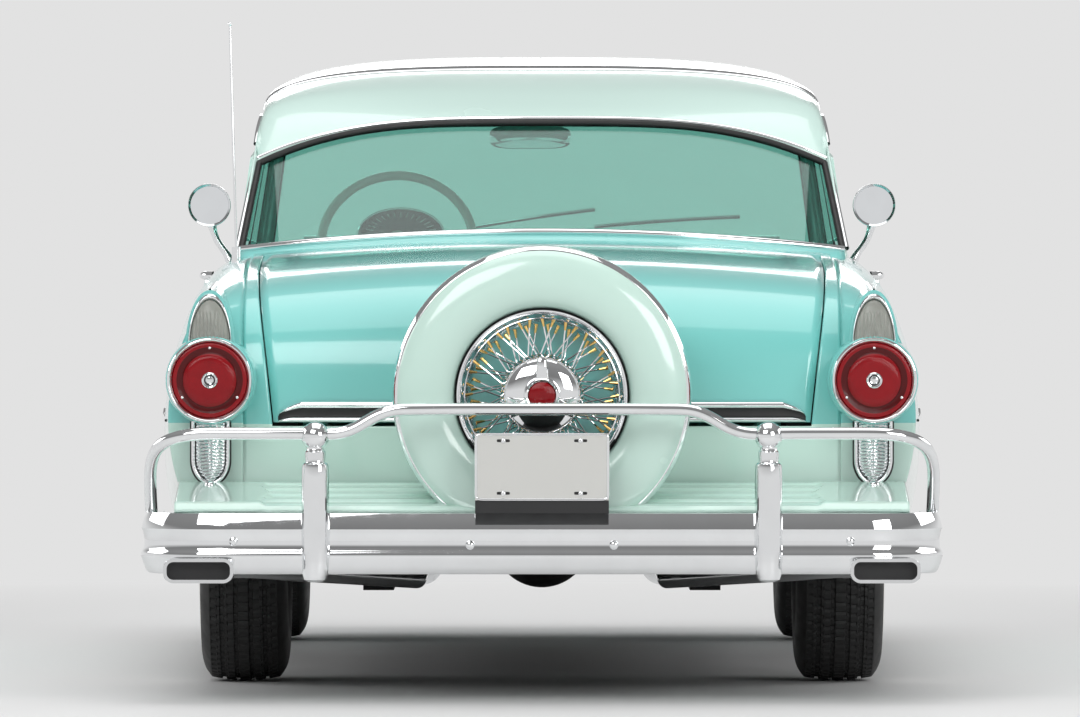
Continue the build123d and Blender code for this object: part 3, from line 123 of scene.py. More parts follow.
def through(points: Sequence[Sequence[float]], count: int) -> Array:
    """A smooth curve through points: the spline over the length of the straight runs between them.

    Args:
        points: the points, in any number of dimensions.
        count: how many places to return.
    Returns:
        Places at even steps of that length.
    """
    p = np.asarray(points, float)
    run = np.concatenate([[0.0], np.cumsum(np.linalg.norm(np.diff(p, axis=0), axis=1))])
    return spline(run, p, np.linspace(0, run[-1], count))


def unit(v: Array) -> Array:
    """Vectors scaled to a length of one."""
    return v / np.maximum(np.linalg.norm(v, axis=-1, keepdims=True), 1e-12)


def full_turn(count: int) -> Array:
    """Even angles once round a circle, without the last one, which is the first again."""
    return np.linspace(0, 2 * np.pi, count, endpoint=False)


def tube(path: Array, radius: Array | float, sides: int = 20, up: Point = (0, 0, 1)) -> Array:
    """A circle carried along a path: at each place the radius times cos and sin on two axes across the path.

    Args:
        path: n points.
        radius: one radius, or one for each point.
        sides: points round the circle.
        up: a direction that the path never follows.
    Returns:
        An n by sides grid, closed in its second direction.
    """
    along = unit(np.gradient(path, axis=0))
    across = unit(np.cross(along, np.asarray(up, float)))
    rise = np.cross(across, along)
    turn = full_turn(sides)
    r = np.broadcast_to(np.asarray(radius, float), (len(path),))[:, None, None]
    ring = across[:, None, :] * np.cos(turn)[None, :, None] + rise[:, None, :] * np.sin(turn)[None, :, None]
    return path[:, None, :] + r * ring


def turned(profile: Array, centre: Point, axis: str, count: int, start: float = 0.0) -> Array:
    """A profile turned about an axis: each radius becomes radius times cos and sin across the axis.

    Args:
        profile: n rows of (distance along the axis, radius).
        centre: a point on the axis.
        axis: x, y or z.
        count: steps round.
        start: the first step's angle.
    Returns:
        An n by count grid, closed in its second direction.
    """
    turn = start + full_turn(count)
    along = np.broadcast_to(profile[:, :1], (len(profile), count))
    c, s = profile[:, 1:2] * np.cos(turn), profile[:, 1:2] * np.sin(turn)
    order = {"x": (along, c, s), "y": (s, along, c), "z": (c, s, along)}[axis]
    return np.stack(order, axis=-1) + np.asarray(centre, float)


def stacked(*parts: Array | float) -> Array:
    """Coordinates side by side, each spread over the shape of the others, as the last axis."""
    return np.stack(np.broadcast_arrays(*parts), axis=-1)


def lathe(rows: Sequence[Sequence[float]], x: float, z: float, count: int) -> Array:
    """Rows of (station, radius) turned about a line along the car.

    Args:
        rows: the profile.
        x: the line's place across the car.
        z: the line's height.
        count: steps round.
    Returns:
        A grid, closed in its second direction.
    """
    profile = np.array(rows, float)
    profile[:, 0] = place(profile[:, 0])
    return turned(profile, (x, 0.0, z), "y", count)


def carried(outline: Array, rows: Sequence[Sequence[float]], x: float, z: float) -> Array:
    """An outline carried along the car, scaled about its middle at each station.

    Args:
        outline: n points as (across, up).
        rows: (station, scale) rows.
        x: the middle's place across the car.
        z: the middle's height.
    Returns:
        A grid with n points for each row.
    """
    station, scale = np.asarray(rows, float).T[:, :, None]
    return stacked(x + outline[:, 0] * scale, place(station), z + outline[:, 1] * scale)


def bent(start: Array, knee: Array, end: Array, t: Array) -> Array:
    """A curve that leans towards a knee: weights (1 - t) squared, 2 t (1 - t) and t squared.

    Args:
        start: where it starts.
        knee: what it leans towards.
        end: where it ends.
        t: places along it, 0 to 1.
    Returns:
        The points.
    """
    return start * (1 - t) ** 2 + 2 * knee * t * (1 - t) + end * t ** 2


def capped(grid: Array) -> Array:
    """A tube's grid with both ends drawn in to their middles."""
    first, last = (np.broadcast_to(row.mean(axis=0), row.shape)[None] for row in (grid[0], grid[-1]))
    return np.concatenate([first, grid, last])


def mirrored(grid: Array) -> Array:
    """The same grid on the other side of the car."""
    return grid * np.array([-1.0, 1.0, 1.0])


def sided(grid: Array, side: Side) -> Array:
    """A right-hand grid placed on the given side."""
    return grid if side is Side.RIGHT else mirrored(grid)


def place(station: Array | float) -> Array | float:
    """The Y place of a station."""
    return station - LENGTH / 2


# Finishes


@dataclass(frozen=True)
class Finish:
    """A surface finish, made once as a node material and then shared."""
    name: str
    colour: tuple[float, float, float]
    roughness: float = 0.4

    def material(self) -> bpy.types.Material:
        """The finish's material, made at its first use.

        Returns:
            The material.
        """
        found = bpy.data.materials.get(self.name)
        if found:
            return found
        made = bpy.data.materials.new(self.name)
        made.use_nodes = True
        made.diffuse_color = (*self.colour, 1)
        self.dress(Weave(made))
        return made

    def dress(self, weave: "Weave") -> None:
        """Sets the shader's sockets and links its patterns."""
        weave.mottle(self.colour, 0.04, 9.0)
        weave.rough(self.roughness, 0.05, 40.0)


class Weave:
    """A small helper that lays nodes into one material."""

    def __init__(self, material: bpy.types.Material) -> None:
        """Takes the material's tree and its shader.

        Args:
            material: the material to lay nodes into.
        """
        self.tree = material.node_tree
        self.shader = self.tree.nodes["Principled BSDF"]
        self.coords = self.tree.nodes.new("ShaderNodeTexCoord")

    def set(self, **sockets: object) -> None:
        """Sets shader sockets, with an underscore for each space in their names."""
        for name, value in sockets.items():
            self.shader.inputs[name.replace("_", " ")].default_value = value

    def noise(self, scale: float, detail: float = 3.0) -> bpy.types.Node:
        """A noise pattern in the piece's own coordinates.

        Args:
            scale: how fine it is.
            detail: how many finer layers it has.
        Returns:
            The node.
        """
        node = self.tree.nodes.new("ShaderNodeTexNoise")
        node.inputs["Scale"].default_value = scale
        node.inputs["Detail"].default_value = detail
        self.tree.links.new(self.coords.outputs["Object"], node.inputs["Vector"])
        return node

    def ranged(self, source: bpy.types.NodeSocket, low: float, high: float) -> bpy.types.Node:
        """A pattern's value from 0.3 to 0.7 spread over a range.

        Args:
            source: the pattern's socket.
            low: what 0.3 becomes.
            high: what 0.7 becomes.
        Returns:
            The node.
        """
        node = self.tree.nodes.new("ShaderNodeMapRange")
        for socket, value in (("From Min", 0.3), ("From Max", 0.7), ("To Min", low), ("To Max", high)):
            node.inputs[socket].default_value = value
        self.tree.links.new(source, node.inputs["Value"])
        return node

    def blend(self, factor: bpy.types.NodeSocket, first: Sequence[float],
              second: Sequence[float]) -> bpy.types.Node:
        """A colour between two, by a pattern.

        Args:
            factor: the pattern's socket.
            first: the colour at 0.
            second: the colour at 1.
        Returns:
            The node, with the colour as its third output.
        """
        node = self.tree.nodes.new("ShaderNodeMix")
        node.data_type = "RGBA"
        node.inputs[6].default_value = (*first, 1)
        node.inputs[7].default_value = (*second, 1)
        self.tree.links.new(factor, node.inputs[0])
        return node

    def mottle(self, colour: Sequence[float], depth: float, scale: float) -> None:
        """Links a base colour that drifts a little lighter and darker over the surface.

        Args:
            colour: the middle colour.
            depth: the drift, as a share of it.
            scale: how fine the drift is.
        """
        noise = self.noise(scale)
        spread = self.ranged(noise.outputs["Fac"], 0.0, 1.0)
        darker = [c * (1 - depth) for c in colour]
        lighter = [min(1.0, c * (1 + depth)) for c in colour]
        mix = self.blend(spread.outputs["Result"], darker, lighter)
        self.tree.links.new(mix.outputs[2], self.shader.inputs["Base Color"])

    def rough(self, middle: float, depth: float, scale: float) -> None:
        """Links a roughness that drifts about a middle value.

        Args:
            middle: the middle value.
            depth: the drift to each side.
            scale: how fine the drift is.
        """
        noise = self.noise(scale, 5.0)
        spread = self.ranged(noise.outputs["Fac"], max(0.0, middle - depth), middle + depth)
        self.tree.links.new(spread.outputs["Result"], self.shader.inputs["Roughness"])

    def bump(self, source: bpy.types.NodeSocket, strength: float, distance: float) -> None:
        """Links a relief in the surface from a pattern.

        Args:
            source: the pattern's socket.
            strength: how much it shows.
            distance: how high it is.
        """
        node = self.tree.nodes.new("ShaderNodeBump")
        node.inputs["Strength"].default_value = strength
        node.inputs["Distance"].default_value = distance
        self.tree.links.new(source, node.inputs["Height"])
        self.tree.links.new(node.outputs["Normal"], self.shader.inputs["Normal"])


@dataclass(frozen=True)
class Plain(Finish):
    """One even colour, for the studio floor."""

    def dress(self, weave: Weave) -> None:
        """Colour and roughness set on the shader."""
        weave.set(Base_Color=(*self.colour, 1), Roughness=self.roughness)


@dataclass(frozen=True)
class Enamel(Finish):
    """Glossy body paint with a clear, polished surface."""

    def dress(self, weave: Weave) -> None:
        """Paint under a coat.

        Args:
            weave: lays the nodes.
        """
        weave.mottle(self.colour, 0.015, 2.0)
        weave.rough(self.roughness, 0.015, 1.5)
        weave.set(Coat_Weight=1.0, Coat_Roughness=0.07, Coat_IOR=1.5, Specular_IOR_Level=0.5)


@dataclass(frozen=True)
class Bright(Finish):
    """Polished plated metal with light haze in places."""

    def dress(self, weave: Weave) -> None:
        """Metal with a wandering polish.

        Args:
            weave: lays the nodes.
        """
        weave.mottle(self.colour, 0.02, 14.0)
        weave.rough(self.roughness, self.roughness * 0.6, 25.0)
        weave.set(Metallic=1.0)


@dataclass(frozen=True)
class Clear(Finish):
    """Window glass, faintly tinted."""

    def dress(self, weave: Weave) -> None:
        """A see-through shader.

        Args:
            weave: lays the nodes.
        """
        weave.mottle(self.colour, 0.01, 2.0)
        weave.rough(self.roughness, 0.004, 6.0)
        weave.set(Transmission_Weight=1.0, IOR=1.45)


@dataclass(frozen=True)
class Lens(Finish):
    """A moulded lamp lens with fine flutes, deep coloured or partly see-through."""
    flute: float = 260.0
    clear: float = 0.0

    def dress(self, weave: Weave) -> None:
        """Tinted plastic with a fluted relief.

        Args:
            weave: lays the nodes.
        """
        weave.mottle(self.colour, 0.08, 30.0)
        weave.rough(self.roughness, 0.03, 40.0)
        weave.set(Transmission_Weight=self.clear, IOR=1.45, Specular_IOR_Level=0.3, Coat_Weight=0.1)
        wave = weave.tree.nodes.new("ShaderNodeTexWave")
        wave.inputs["Scale"].default_value = self.flute
        weave.tree.links.new(weave.coords.outputs["Object"], wave.inputs["Vector"])
        weave.bump(wave.outputs["Fac"], 0.15, 0.001)


@dataclass(frozen=True)
class Grained(Finish):
    """A matt or satin surface with a fine grain: rubber, vinyl, cast metal or carpet."""
    grain: float = 300.0
    depth: float = 0.25

    def dress(self, weave: Weave) -> None:
        """Colour, roughness and grain.

        Args:
            weave: lays the nodes.
        """
        weave.mottle(self.colour, 0.1, 11.0)
        weave.rough(self.roughness, 0.07, 30.0)
        weave.bump(weave.noise(self.grain, 4.0).outputs["Fac"], self.depth, 0.001)


AQUA = Enamel("aqua_enamel", (0.205, 0.62, 0.585), 0.26)
MINT = Enamel("mint_enamel", (0.6, 0.81, 0.725), 0.26)
# Painted highlight: the roof and its pillars take the body's mint made lighter, standing in for the light
# that falls on them from above.
PAINTED_LIGHT_MINT = Enamel("roof_enamel", (0.62, 0.82, 0.755), 0.26)
CHROME = Bright("chrome_plate", (0.86, 0.87, 0.88), 0.045)
STAINLESS = Bright("stainless_trim", (0.74, 0.75, 0.76), 0.14)
BRASS = Bright("brass_nipple", (0.8, 0.55, 0.2), 0.2)
MIRROR = Bright("mirror_glass", (0.82, 0.84, 0.86), 0.012)
GLASS = Clear("tinted_glass", (0.4, 0.7, 0.63), 0.008)
RED_LENS = Lens("ruby_lens", (0.27, 0.005, 0.009), 0.12)
DEEP_RED_LENS = Lens("deep_ruby_lens", (0.085, 0.002, 0.003), 0.12)
CLEAR_LENS = Lens("fluted_lens", (0.44, 0.44, 0.4), 0.1, 180.0, 0.3)
LAMP_GLASS = Lens("headlamp_glass", (0.74, 0.75, 0.74), 0.06, 120.0)
RUBBER = Grained("tyre_rubber", (0.012, 0.012, 0.012), 0.62, 500.0, 0.2)
WHITEWALL = Grained("whitewall_rubber", (0.78, 0.77, 0.73), 0.5, 500.0, 0.1)
GASKET = Grained("gasket_rubber", (0.01, 0.01, 0.01), 0.45, 350.0, 0.1)
FRAME_BLACK = Grained("chassis_black", (0.018, 0.018, 0.019), 0.5, 220.0, 0.3)
IRON = Grained("engine_iron", (0.06, 0.06, 0.062), 0.62, 160.0, 0.6)
VINYL = Grained("aqua_vinyl", (0.27, 0.6, 0.53), 0.42, 420.0, 0.3)
PALE_VINYL = Grained("pale_vinyl", (0.66, 0.8, 0.73), 0.42, 420.0, 0.3)
PLATE_ENAMEL = Enamel("plate_enamel", (0.62, 0.62, 0.595), 0.3)
WHEEL_RIM = Enamel("steering_rim", (0.58, 0.8, 0.68), 0.3)


# Meshes


def linked(name: str, data: bpy.types.ID) -> bpy.types.Object:
    """A new object in the scene, at the origin.

    Args:
        name: its name.
        data: its mesh, light or camera.
    Returns:
        The object.
    """
    obj = bpy.data.objects.new(name, data)
    bpy.context.scene.collection.objects.link(obj)
    return obj


@dataclass
class Skin:
    """Collects surface grids and makes one mesh piece of them."""
    name: str
    finishes: list[Finish]
    points: list[Array] = field(default_factory=list)
    faces: list[Array] = field(default_factory=list)
    marks: list[Array] = field(default_factory=list)

    def add(self, grid: Array, wrap_u: bool = False, wrap_v: bool = False, mark: int | Array = 0) -> "Skin":
        """Adds one grid of points as quads between neighbours.

        Args:
            grid: n by m by 3 points.
            wrap_u: joins the last row to the first.
            wrap_v: joins the last column to the first.
            mark: which finish its faces take, one number or one for each column of faces.
        Returns:
            The skin itself.
        """
        nu, nv = grid.shape[:2]
        base = sum(len(p) for p in self.points)
        i = np.arange(nu if wrap_u else nu - 1)[:, None]
        j = np.arange(nv if wrap_v else nv - 1)[None, :]
        ahead, beside = (i + 1) % nu, (j + 1) % nv
        quads = stacked(i * nv + j, ahead * nv + j, ahead * nv + beside, i * nv + beside)
        self.points.append(grid.reshape(-1, 3))
        self.faces.append(quads.reshape(-1, 4) + base)
        self.marks.append(np.broadcast_to(np.asarray(mark), quads.shape[:2]).reshape(-1))
        return self

    def both(self, grid: Array, wrap_u: bool = False, wrap_v: bool = False, mark: int | Array = 0) -> "Skin":
        """Adds a right-hand grid and its mirror image."""
        self.add(grid, wrap_u, wrap_v, mark)
        return self.add(mirrored(grid), wrap_u, wrap_v, mark)

    def build(self, body: str, slot: str, shade: Shade = Shade.CREASED, outside: Point | None = None,
              replaces: Sequence[str] = (), thickness: float = 0.0) -> bpy.types.Object:
        """Makes the piece: merges its seams and poles, points its faces outwards and sets it on its body.

        Args:
            body: the body that it moves with.
            slot: the record's material slot; not used.
            shade: how its normals run across edges.
            outside: for an open sheet, a point that its faces look away from.
            replaces: CAD nodes that it stands for.
            thickness: a wall given inwards to an open sheet.
        Returns:
            The finished object.
        """
        mesh = bpy.data.meshes.new(self.name)
        mesh.from_pydata(np.concatenate(self.points).tolist(), [], np.concatenate(self.faces).tolist())
        mesh.polygons.foreach_set("material_index", np.concatenate(self.marks).astype(np.int32))
        shell = bmesh.new()
        shell.from_mesh(mesh)
        bmesh.ops.remove_doubles(shell, verts=shell.verts, dist=2e-6)
        bmesh.ops.dissolve_degenerate(shell, edges=shell.edges, dist=1e-6)
        bmesh.ops.recalc_face_normals(shell, faces=shell.faces)
        shell.to_mesh(mesh)
        shell.free()
        obj = linked(self.name, mesh)
        for finish in self.finishes:
            mesh.materials.append(finish.material())
        if outside is not None:
            face_away(mesh, outside)
        shade_mesh(mesh, shade)
        if thickness:
            wall = obj.modifiers.new("wall", "SOLIDIFY")
            wall.thickness = thickness
            wall.offset = -1
        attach(obj, body)
        if replaces:
            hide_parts(*replaces)
        LOG.info("%s: %d faces on %s", self.name, len(mesh.polygons), body)
        return obj


def face_away(mesh: bpy.types.Mesh, point: Point) -> None:
    """Turns an open sheet over if most of it looks towards a point that lies behind it.

    Args:
        mesh: the sheet.
        point: lies behind it.
    """
    count = len(mesh.polygons)
    centres, normals = np.zeros(count * 3), np.zeros(count * 3)
    mesh.polygons.foreach_get("center", centres)
    mesh.polygons.foreach_get("normal", normals)
    away = centres.reshape(-1, 3) - np.asarray(point, float)
    if np.sum(away * normals.reshape(-1, 3)) < 0:
        mesh.flip_normals()


def shade_mesh(mesh: bpy.types.Mesh, shade: Shade) -> None:
    """Shades a mesh smooth, with sharp edges past the shade's angle.

    Args:
        mesh: the mesh.
        shade: how its normals run across edges.
    """
    mesh.polygons.foreach_set("use_smooth", np.ones(len(mesh.polygons), bool))
    if shade is not Shade.SMOOTH:
        mesh.set_sharp_from_angle(angle=math.radians(shade.value))
    mesh.update()


def smoothed_node(node: str, finish: Finish, shade: Shade = Shade.CREASED) -> bpy.types.Object:
    """A merged, smoothly shaded copy of a CAD node that stands for it.

    Args:
        node: the CAD node.
        finish: its finish.
        shade: how its normals run across edges.
    Returns:
        The copy.
    """
    source = frame["nodes"][node]
    mesh = source.data.copy()
    mesh.name = f"{node}_dressed"
    merged = bmesh.new()
    merged.from_mesh(mesh)
    bmesh.ops.remove_doubles(merged, verts=merged.verts, dist=1e-5)
    merged.to_mesh(mesh)
    merged.free()
    mesh.materials.clear()
    mesh.materials.append(finish.material())
    if "custom_normal" in mesh.attributes:
        mesh.attributes.remove(mesh.attributes["custom_normal"])
    shade_mesh(mesh, shade)
    obj = linked(mesh.name, mesh)
    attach(obj, source["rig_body"])
    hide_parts(node)
    LOG.info("%s kept from the solids", node)
    return obj


# The body's shape


@dataclass
class BodyShape:
    """The body's outer shape: cross-sections along the car, and the rear deck's roll down to the bumper.

    Each row of the table gives station, half width at the fullest height, that height, half width and height
    at the bottom edge, half width and height at the shoulder, and the height on the centre line.
    """
    table: tuple = (
        (0.48, 0.872, 0.715, 0.842, 0.47, 0.772, 0.955, 0.975),
        (0.9, 0.892, 0.712, 0.866, 0.4, 0.79, 0.992, 1.042),
        (1.48, 0.908, 0.705, 0.876, 0.32, 0.792, 1.022, 1.082),
        (2.8, 0.918, 0.69, 0.884, 0.29, 0.808, 1.04, 1.1),
        (3.8, 0.915, 0.7, 0.884, 0.29, 0.812, 1.035, 1.1),
        (4.7, 0.905, 0.7, 0.872, 0.33, 0.79, 0.975, 1.035),
        (5.08, 0.888, 0.69, 0.842, 0.44, 0.762, 0.918, 0.962),
    )
    shoulder_drop: float = 0.075
    deck: tuple = ((1.42, 1.0785), (1.31, 1.0715), (1.1, 1.058), (0.9, 1.04), (0.72, 1.012), (0.59, 0.972),
                   (0.5, 0.912), (0.45, 0.835), (0.43, 0.745), (0.425, 0.64), (0.427, 0.56), (0.434, 0.47))
    deck_drop: float = 0.034
    deck_half: float = 0.65
    strip_x: float = 0.7
    lid_low_half: float = 0.628
    lid_spread: float = 0.042
    lid_low: float = 0.64
    lid_rise: float = 0.4

    def row(self, station: Array) -> dict[str, Array]:
        """The section's sizes at stations: each column's spline over the table.

        Args:
            station: n stations.
        Returns:
            Each column's name with its n values.
        """
        rows = np.asarray(self.table)
        values = spline(rows[:, 0], rows[:, 1:], np.clip(station, rows[0, 0], rows[-1, 0]))
        return dict(zip(("half", "full", "low_half", "low", "high_half", "high", "centre"), values.T))

    def side_x(self, station: Array, z: Array) -> Array:
        """How far out the side is: the circle through bottom edge, fullest point and shoulder.

        Args:
            station: n stations.
            z: heights, n or n by m.
        Returns:
            X at each height.
        """
        r = self.row(station)
        ax, az, bx, bz, cx, cz = r["low_half"], r["low"], r["half"], r["full"], r["high_half"], r["high"]
        d = 2 * (ax * (bz - cz) + bx * (cz - az) + cx * (az - bz))
        a2, b2, c2 = ax ** 2 + az ** 2, bx ** 2 + bz ** 2, cx ** 2 + cz ** 2
        ux = (a2 * (bz - cz) + b2 * (cz - az) + c2 * (az - bz)) / d
        uz = (a2 * (cx - bx) + b2 * (ax - cx) + c2 * (bx - ax)) / d
        reach = np.hypot(ax - ux, az - uz)
        if np.ndim(z) == 2:
            ux, uz, reach = ux[:, None], uz[:, None], reach[:, None]
        return ux + np.sqrt(np.maximum(reach ** 2 - (z - uz) ** 2, 0.0))

    def top_z(self, station: Array, x: Array) -> Array:
        """The top's height: the centre line less a share of the crown that grows with x squared.

        Args:
            station: n stations.
            x: m places across, or n by m.
        Returns:
            An n by m grid of heights.
        """
        r = self.row(station)
        crown = (r["centre"] - r["high"]) / r["high_half"] ** 2
        return r["centre"][:, None] - crown[:, None] * x ** 2

    def deck_line(self, count: int) -> tuple[Array, Array]:
        """The rear deck's centre line from the glass to the bottom of the tail, and its outward normals.

        Args:
            count: how many places.
        Returns:
            Places as (station, height), and unit normals.
        """
        line = through(self.deck, count)
        along = unit(np.gradient(line, axis=0))
        return line, stacked(along[:, 1], -along[:, 0])

    def deck_surface(self, line: Array, normal: Array, x: Array) -> Array:
        """The deck's centre line carried across the car, sinking along its normal with x squared.

        Args:
            line: n places as (station, height).
            normal: their normals.
            x: m places across, or n by m.
        Returns:
            An n by m grid.
        """
        x = np.broadcast_to(x, (len(line), np.shape(x)[-1]))
        sink = self.deck_drop * (x / self.deck_half) ** 2
        station = line[:, :1] - normal[:, :1] * sink
        z = line[:, 1:] - normal[:, 1:] * sink
        return stacked(x, place(station), z)

    def deck_edge(self, station: Array) -> Array:
        """The deck's height at the strip beside the boot lid.

        Args:
            station: the stations.
        Returns:
            The height at each of them.
        """
        line, normal = self.deck_line(400)
        edge = self.deck_surface(line, normal, np.array([self.strip_x]))[:, 0]
        falling = edge[edge[:, 2] > self.lid_low + 0.02]
        order = np.argsort(falling[:, 1])
        return np.interp(place(station), falling[order, 1], falling[order, 2])

    def lid_half(self, z: Array) -> Array:
        """Half the boot lid's width, which narrows towards its lower edge."""
        return self.lid_low_half + self.lid_spread * np.clip((z - self.lid_low) / self.lid_rise, 0, 1)


@dataclass
class TrimLine:
    """Where the two paints meet, under a bright moulding: level at the tail, with a dip in the door."""
    points: tuple = ((0.3, 0.64), (0.9, 0.646), (1.6, 0.652), (2.3, 0.64), (2.72, 0.56), (2.98, 0.52),
                     (3.16, 0.59), (3.45, 0.735), (4.0, 0.8), (4.6, 0.812), (5.2, 0.8))

    def z(self, station: Array) -> Array:
        """The line's height at stations."""
        p = np.asarray(self.points)
        return spline(p[:, 0], p[:, 1], station)[:, 0]


SHAPE = BodyShape()
TRIM = TrimLine()


@dataclass
class SidePanel:
    """One panel of the body's side: over the shoulder and down to a bottom line, in two paints."""
    name: str
    body: str
    nodes: tuple[str, ...]
    side: Side
    stations: Array
    bottom: Callable[[Array], Array]
    inner_x: float = 0.706
    deck_end: float = 1.31
    wall: float = 0.012
    steps: tuple[int, int, int] = (14, 18, 14)

    def grid(self) -> tuple[Array, Array]:
        """Rows at fixed stations: over the shoulder, then down the side in two lengths, one for each paint.

        Returns:
            The grid, and for each column of faces which paint it takes.
        """
        d = np.asarray(self.stations, float)
        r = SHAPE.row(d)
        turn_z = r["high"] - SHAPE.shoulder_drop
        inner = np.full_like(d, self.inner_x)
        on_deck = d < self.deck_end
        inner_z = np.where(on_deck, SHAPE.deck_edge(d), SHAPE.top_z(d, inner[:, None])[:, 0])
        inner = np.where(on_deck, SHAPE.strip_x, inner)
        start = stacked(inner, inner_z)[:, None, :]
        knee = stacked(r["high_half"], r["high"])[:, None, :]
        end = stacked(SHAPE.side_x(d, turn_z), turn_z)[:, None, :]
        t = np.linspace(0, 1, self.steps[0])[None, :, None]
        shoulder = bent(start, knee, end, t)
        bottom = self.bottom(d)
        trim = np.clip(TRIM.z(d), bottom + 0.002, turn_z - 0.002)
        upper = np.linspace(turn_z, trim, self.steps[1], axis=1)[:, 1:]
        lower = np.linspace(trim, bottom, self.steps[2], axis=1)[:, 1:]
        z = np.concatenate([upper, lower], axis=1)
        sides = stacked(SHAPE.side_x(d, z), z)
        curve = np.concatenate([shoulder, sides], axis=1)
        grid = stacked(curve[..., 0], place(d)[:, None], curve[..., 1])
        marks = (np.arange(grid.shape[1] - 1) >= self.steps[0] + self.steps[1] - 2).astype(int)
        return sided(grid, self.side), marks

    def build(self) -> None:
        """Makes the panel as a thin shell."""
        grid, marks = self.grid()
        skin = Skin(self.name, [AQUA, MINT]).add(grid, mark=marks)
        skin.build(self.body, "aqua_paint", outside=(0.0, float(place(np.mean(self.stations))), 0.6),
                   replaces=self.nodes, thickness=self.wall)


@dataclass
class BootLid:
    """The boot lid: the deck's surface between its shut lines, down to its lower edge."""
    front: float = 1.308
    bottom: float = 0.641
    wall: float = 0.016
    trim_outer: float = 0.618
    trim_length: float = 0.345
    trim_point: float = 0.16
    trim_low: float = 0.644
    trim_station: float = 0.4245
    trim_bars: tuple = ((0, 1, 0, 0.0085), (1, 2, 1, -0.002), (2, 3, 0, 0.0095))

    def build(self) -> None:
        """Carries the deck's line across the lid's width."""
        line, normal = SHAPE.deck_line(260)
        keep = (line[:, 0] <= self.front) & (line[:, 1] >= self.bottom)
        line, normal = line[keep], normal[keep]
        x = SHAPE.lid_half(line[:, 1:]) * np.linspace(-1, 1, 61)[None, :]
        skin = Skin("boot_lid_skin", [AQUA]).add(SHAPE.deck_surface(line, normal, x))
        skin.build("boot_lid", "aqua_paint", outside=(0, place(1.0), 0.6), replaces=["boot_lid"],
                   thickness=self.wall)
        self.trims()

    def trims(self) -> None:
        """The trims on the lid's lower edge: bright bars over and under a dark panel, meeting in a point."""
        t = np.linspace(0, 1, 70)
        x = self.trim_outer - self.trim_length * t
        close = np.sqrt(np.clip(t / self.trim_point, 0, 1))
        low = self.trim_low
        edges = (low + 0 * t, low + 0.012 * np.minimum(1, close + 0.25), low + 0.013 + 0.019 * close,
                 low + 0.014 + 0.0345 * close)
        skin = Skin("lid_trims", [CHROME, GASKET])
        swell = np.linspace(0, np.pi, 9)[:, None]
        for lower, upper, mark, height in self.trim_bars:
            share = 0.5 - 0.5 * np.cos(swell)
            z = edges[lower] + (edges[upper] - edges[lower]) * share
            out = 0.0035 + height * np.sin(swell)
            sink = SHAPE.deck_drop * (x / SHAPE.deck_half) ** 2 + 0.02 * np.clip(z - 0.66, 0, 1)
            skin.both(stacked(x, place(self.trim_station + sink - out), z), mark=mark)
        skin.build("boot_lid", "chrome", outside=(0, place(1.2), 0.66))


@dataclass(frozen=True)
class WheelArch:
    """A round opening over a wheel, cut off flat where it has a top."""
    station: float
    z: float
    radius: float
    top: float = 2.0
    gap: float = 0.004

    def lift(self, station: Array, low: Array) -> Array:
        """A panel's lower edge: the circle's height over the wheel, and the given edge elsewhere.

        Args:
            station: places along the car.
            low: the edge without the arch.
        Returns:
            The edge with the arch.
        """
        rise = self.radius ** 2 - (station - self.station) ** 2
        arch = self.z + np.sqrt(np.maximum(rise, 0.0))
        return np.where(rise > 0, np.maximum(low, np.minimum(arch, self.top)), low)

    def stations(self, rear: float, front: float, counts: tuple[int, int, int]) -> Array:
        """Rows along a panel, crowded where the arch is steep.

        Args:
            rear: the panel's rear end.
            front: its front end.
            counts: rows behind the arch, over it and ahead of it.
        Returns:
            Rising stations.
        """
        arch = self.station - self.radius * np.cos(np.linspace(0, np.pi, counts[1]))
        return np.concatenate([np.linspace(rear, arch[0] - self.gap, counts[0]), arch,
                               np.linspace(arch[-1] + self.gap, front, counts[2])])


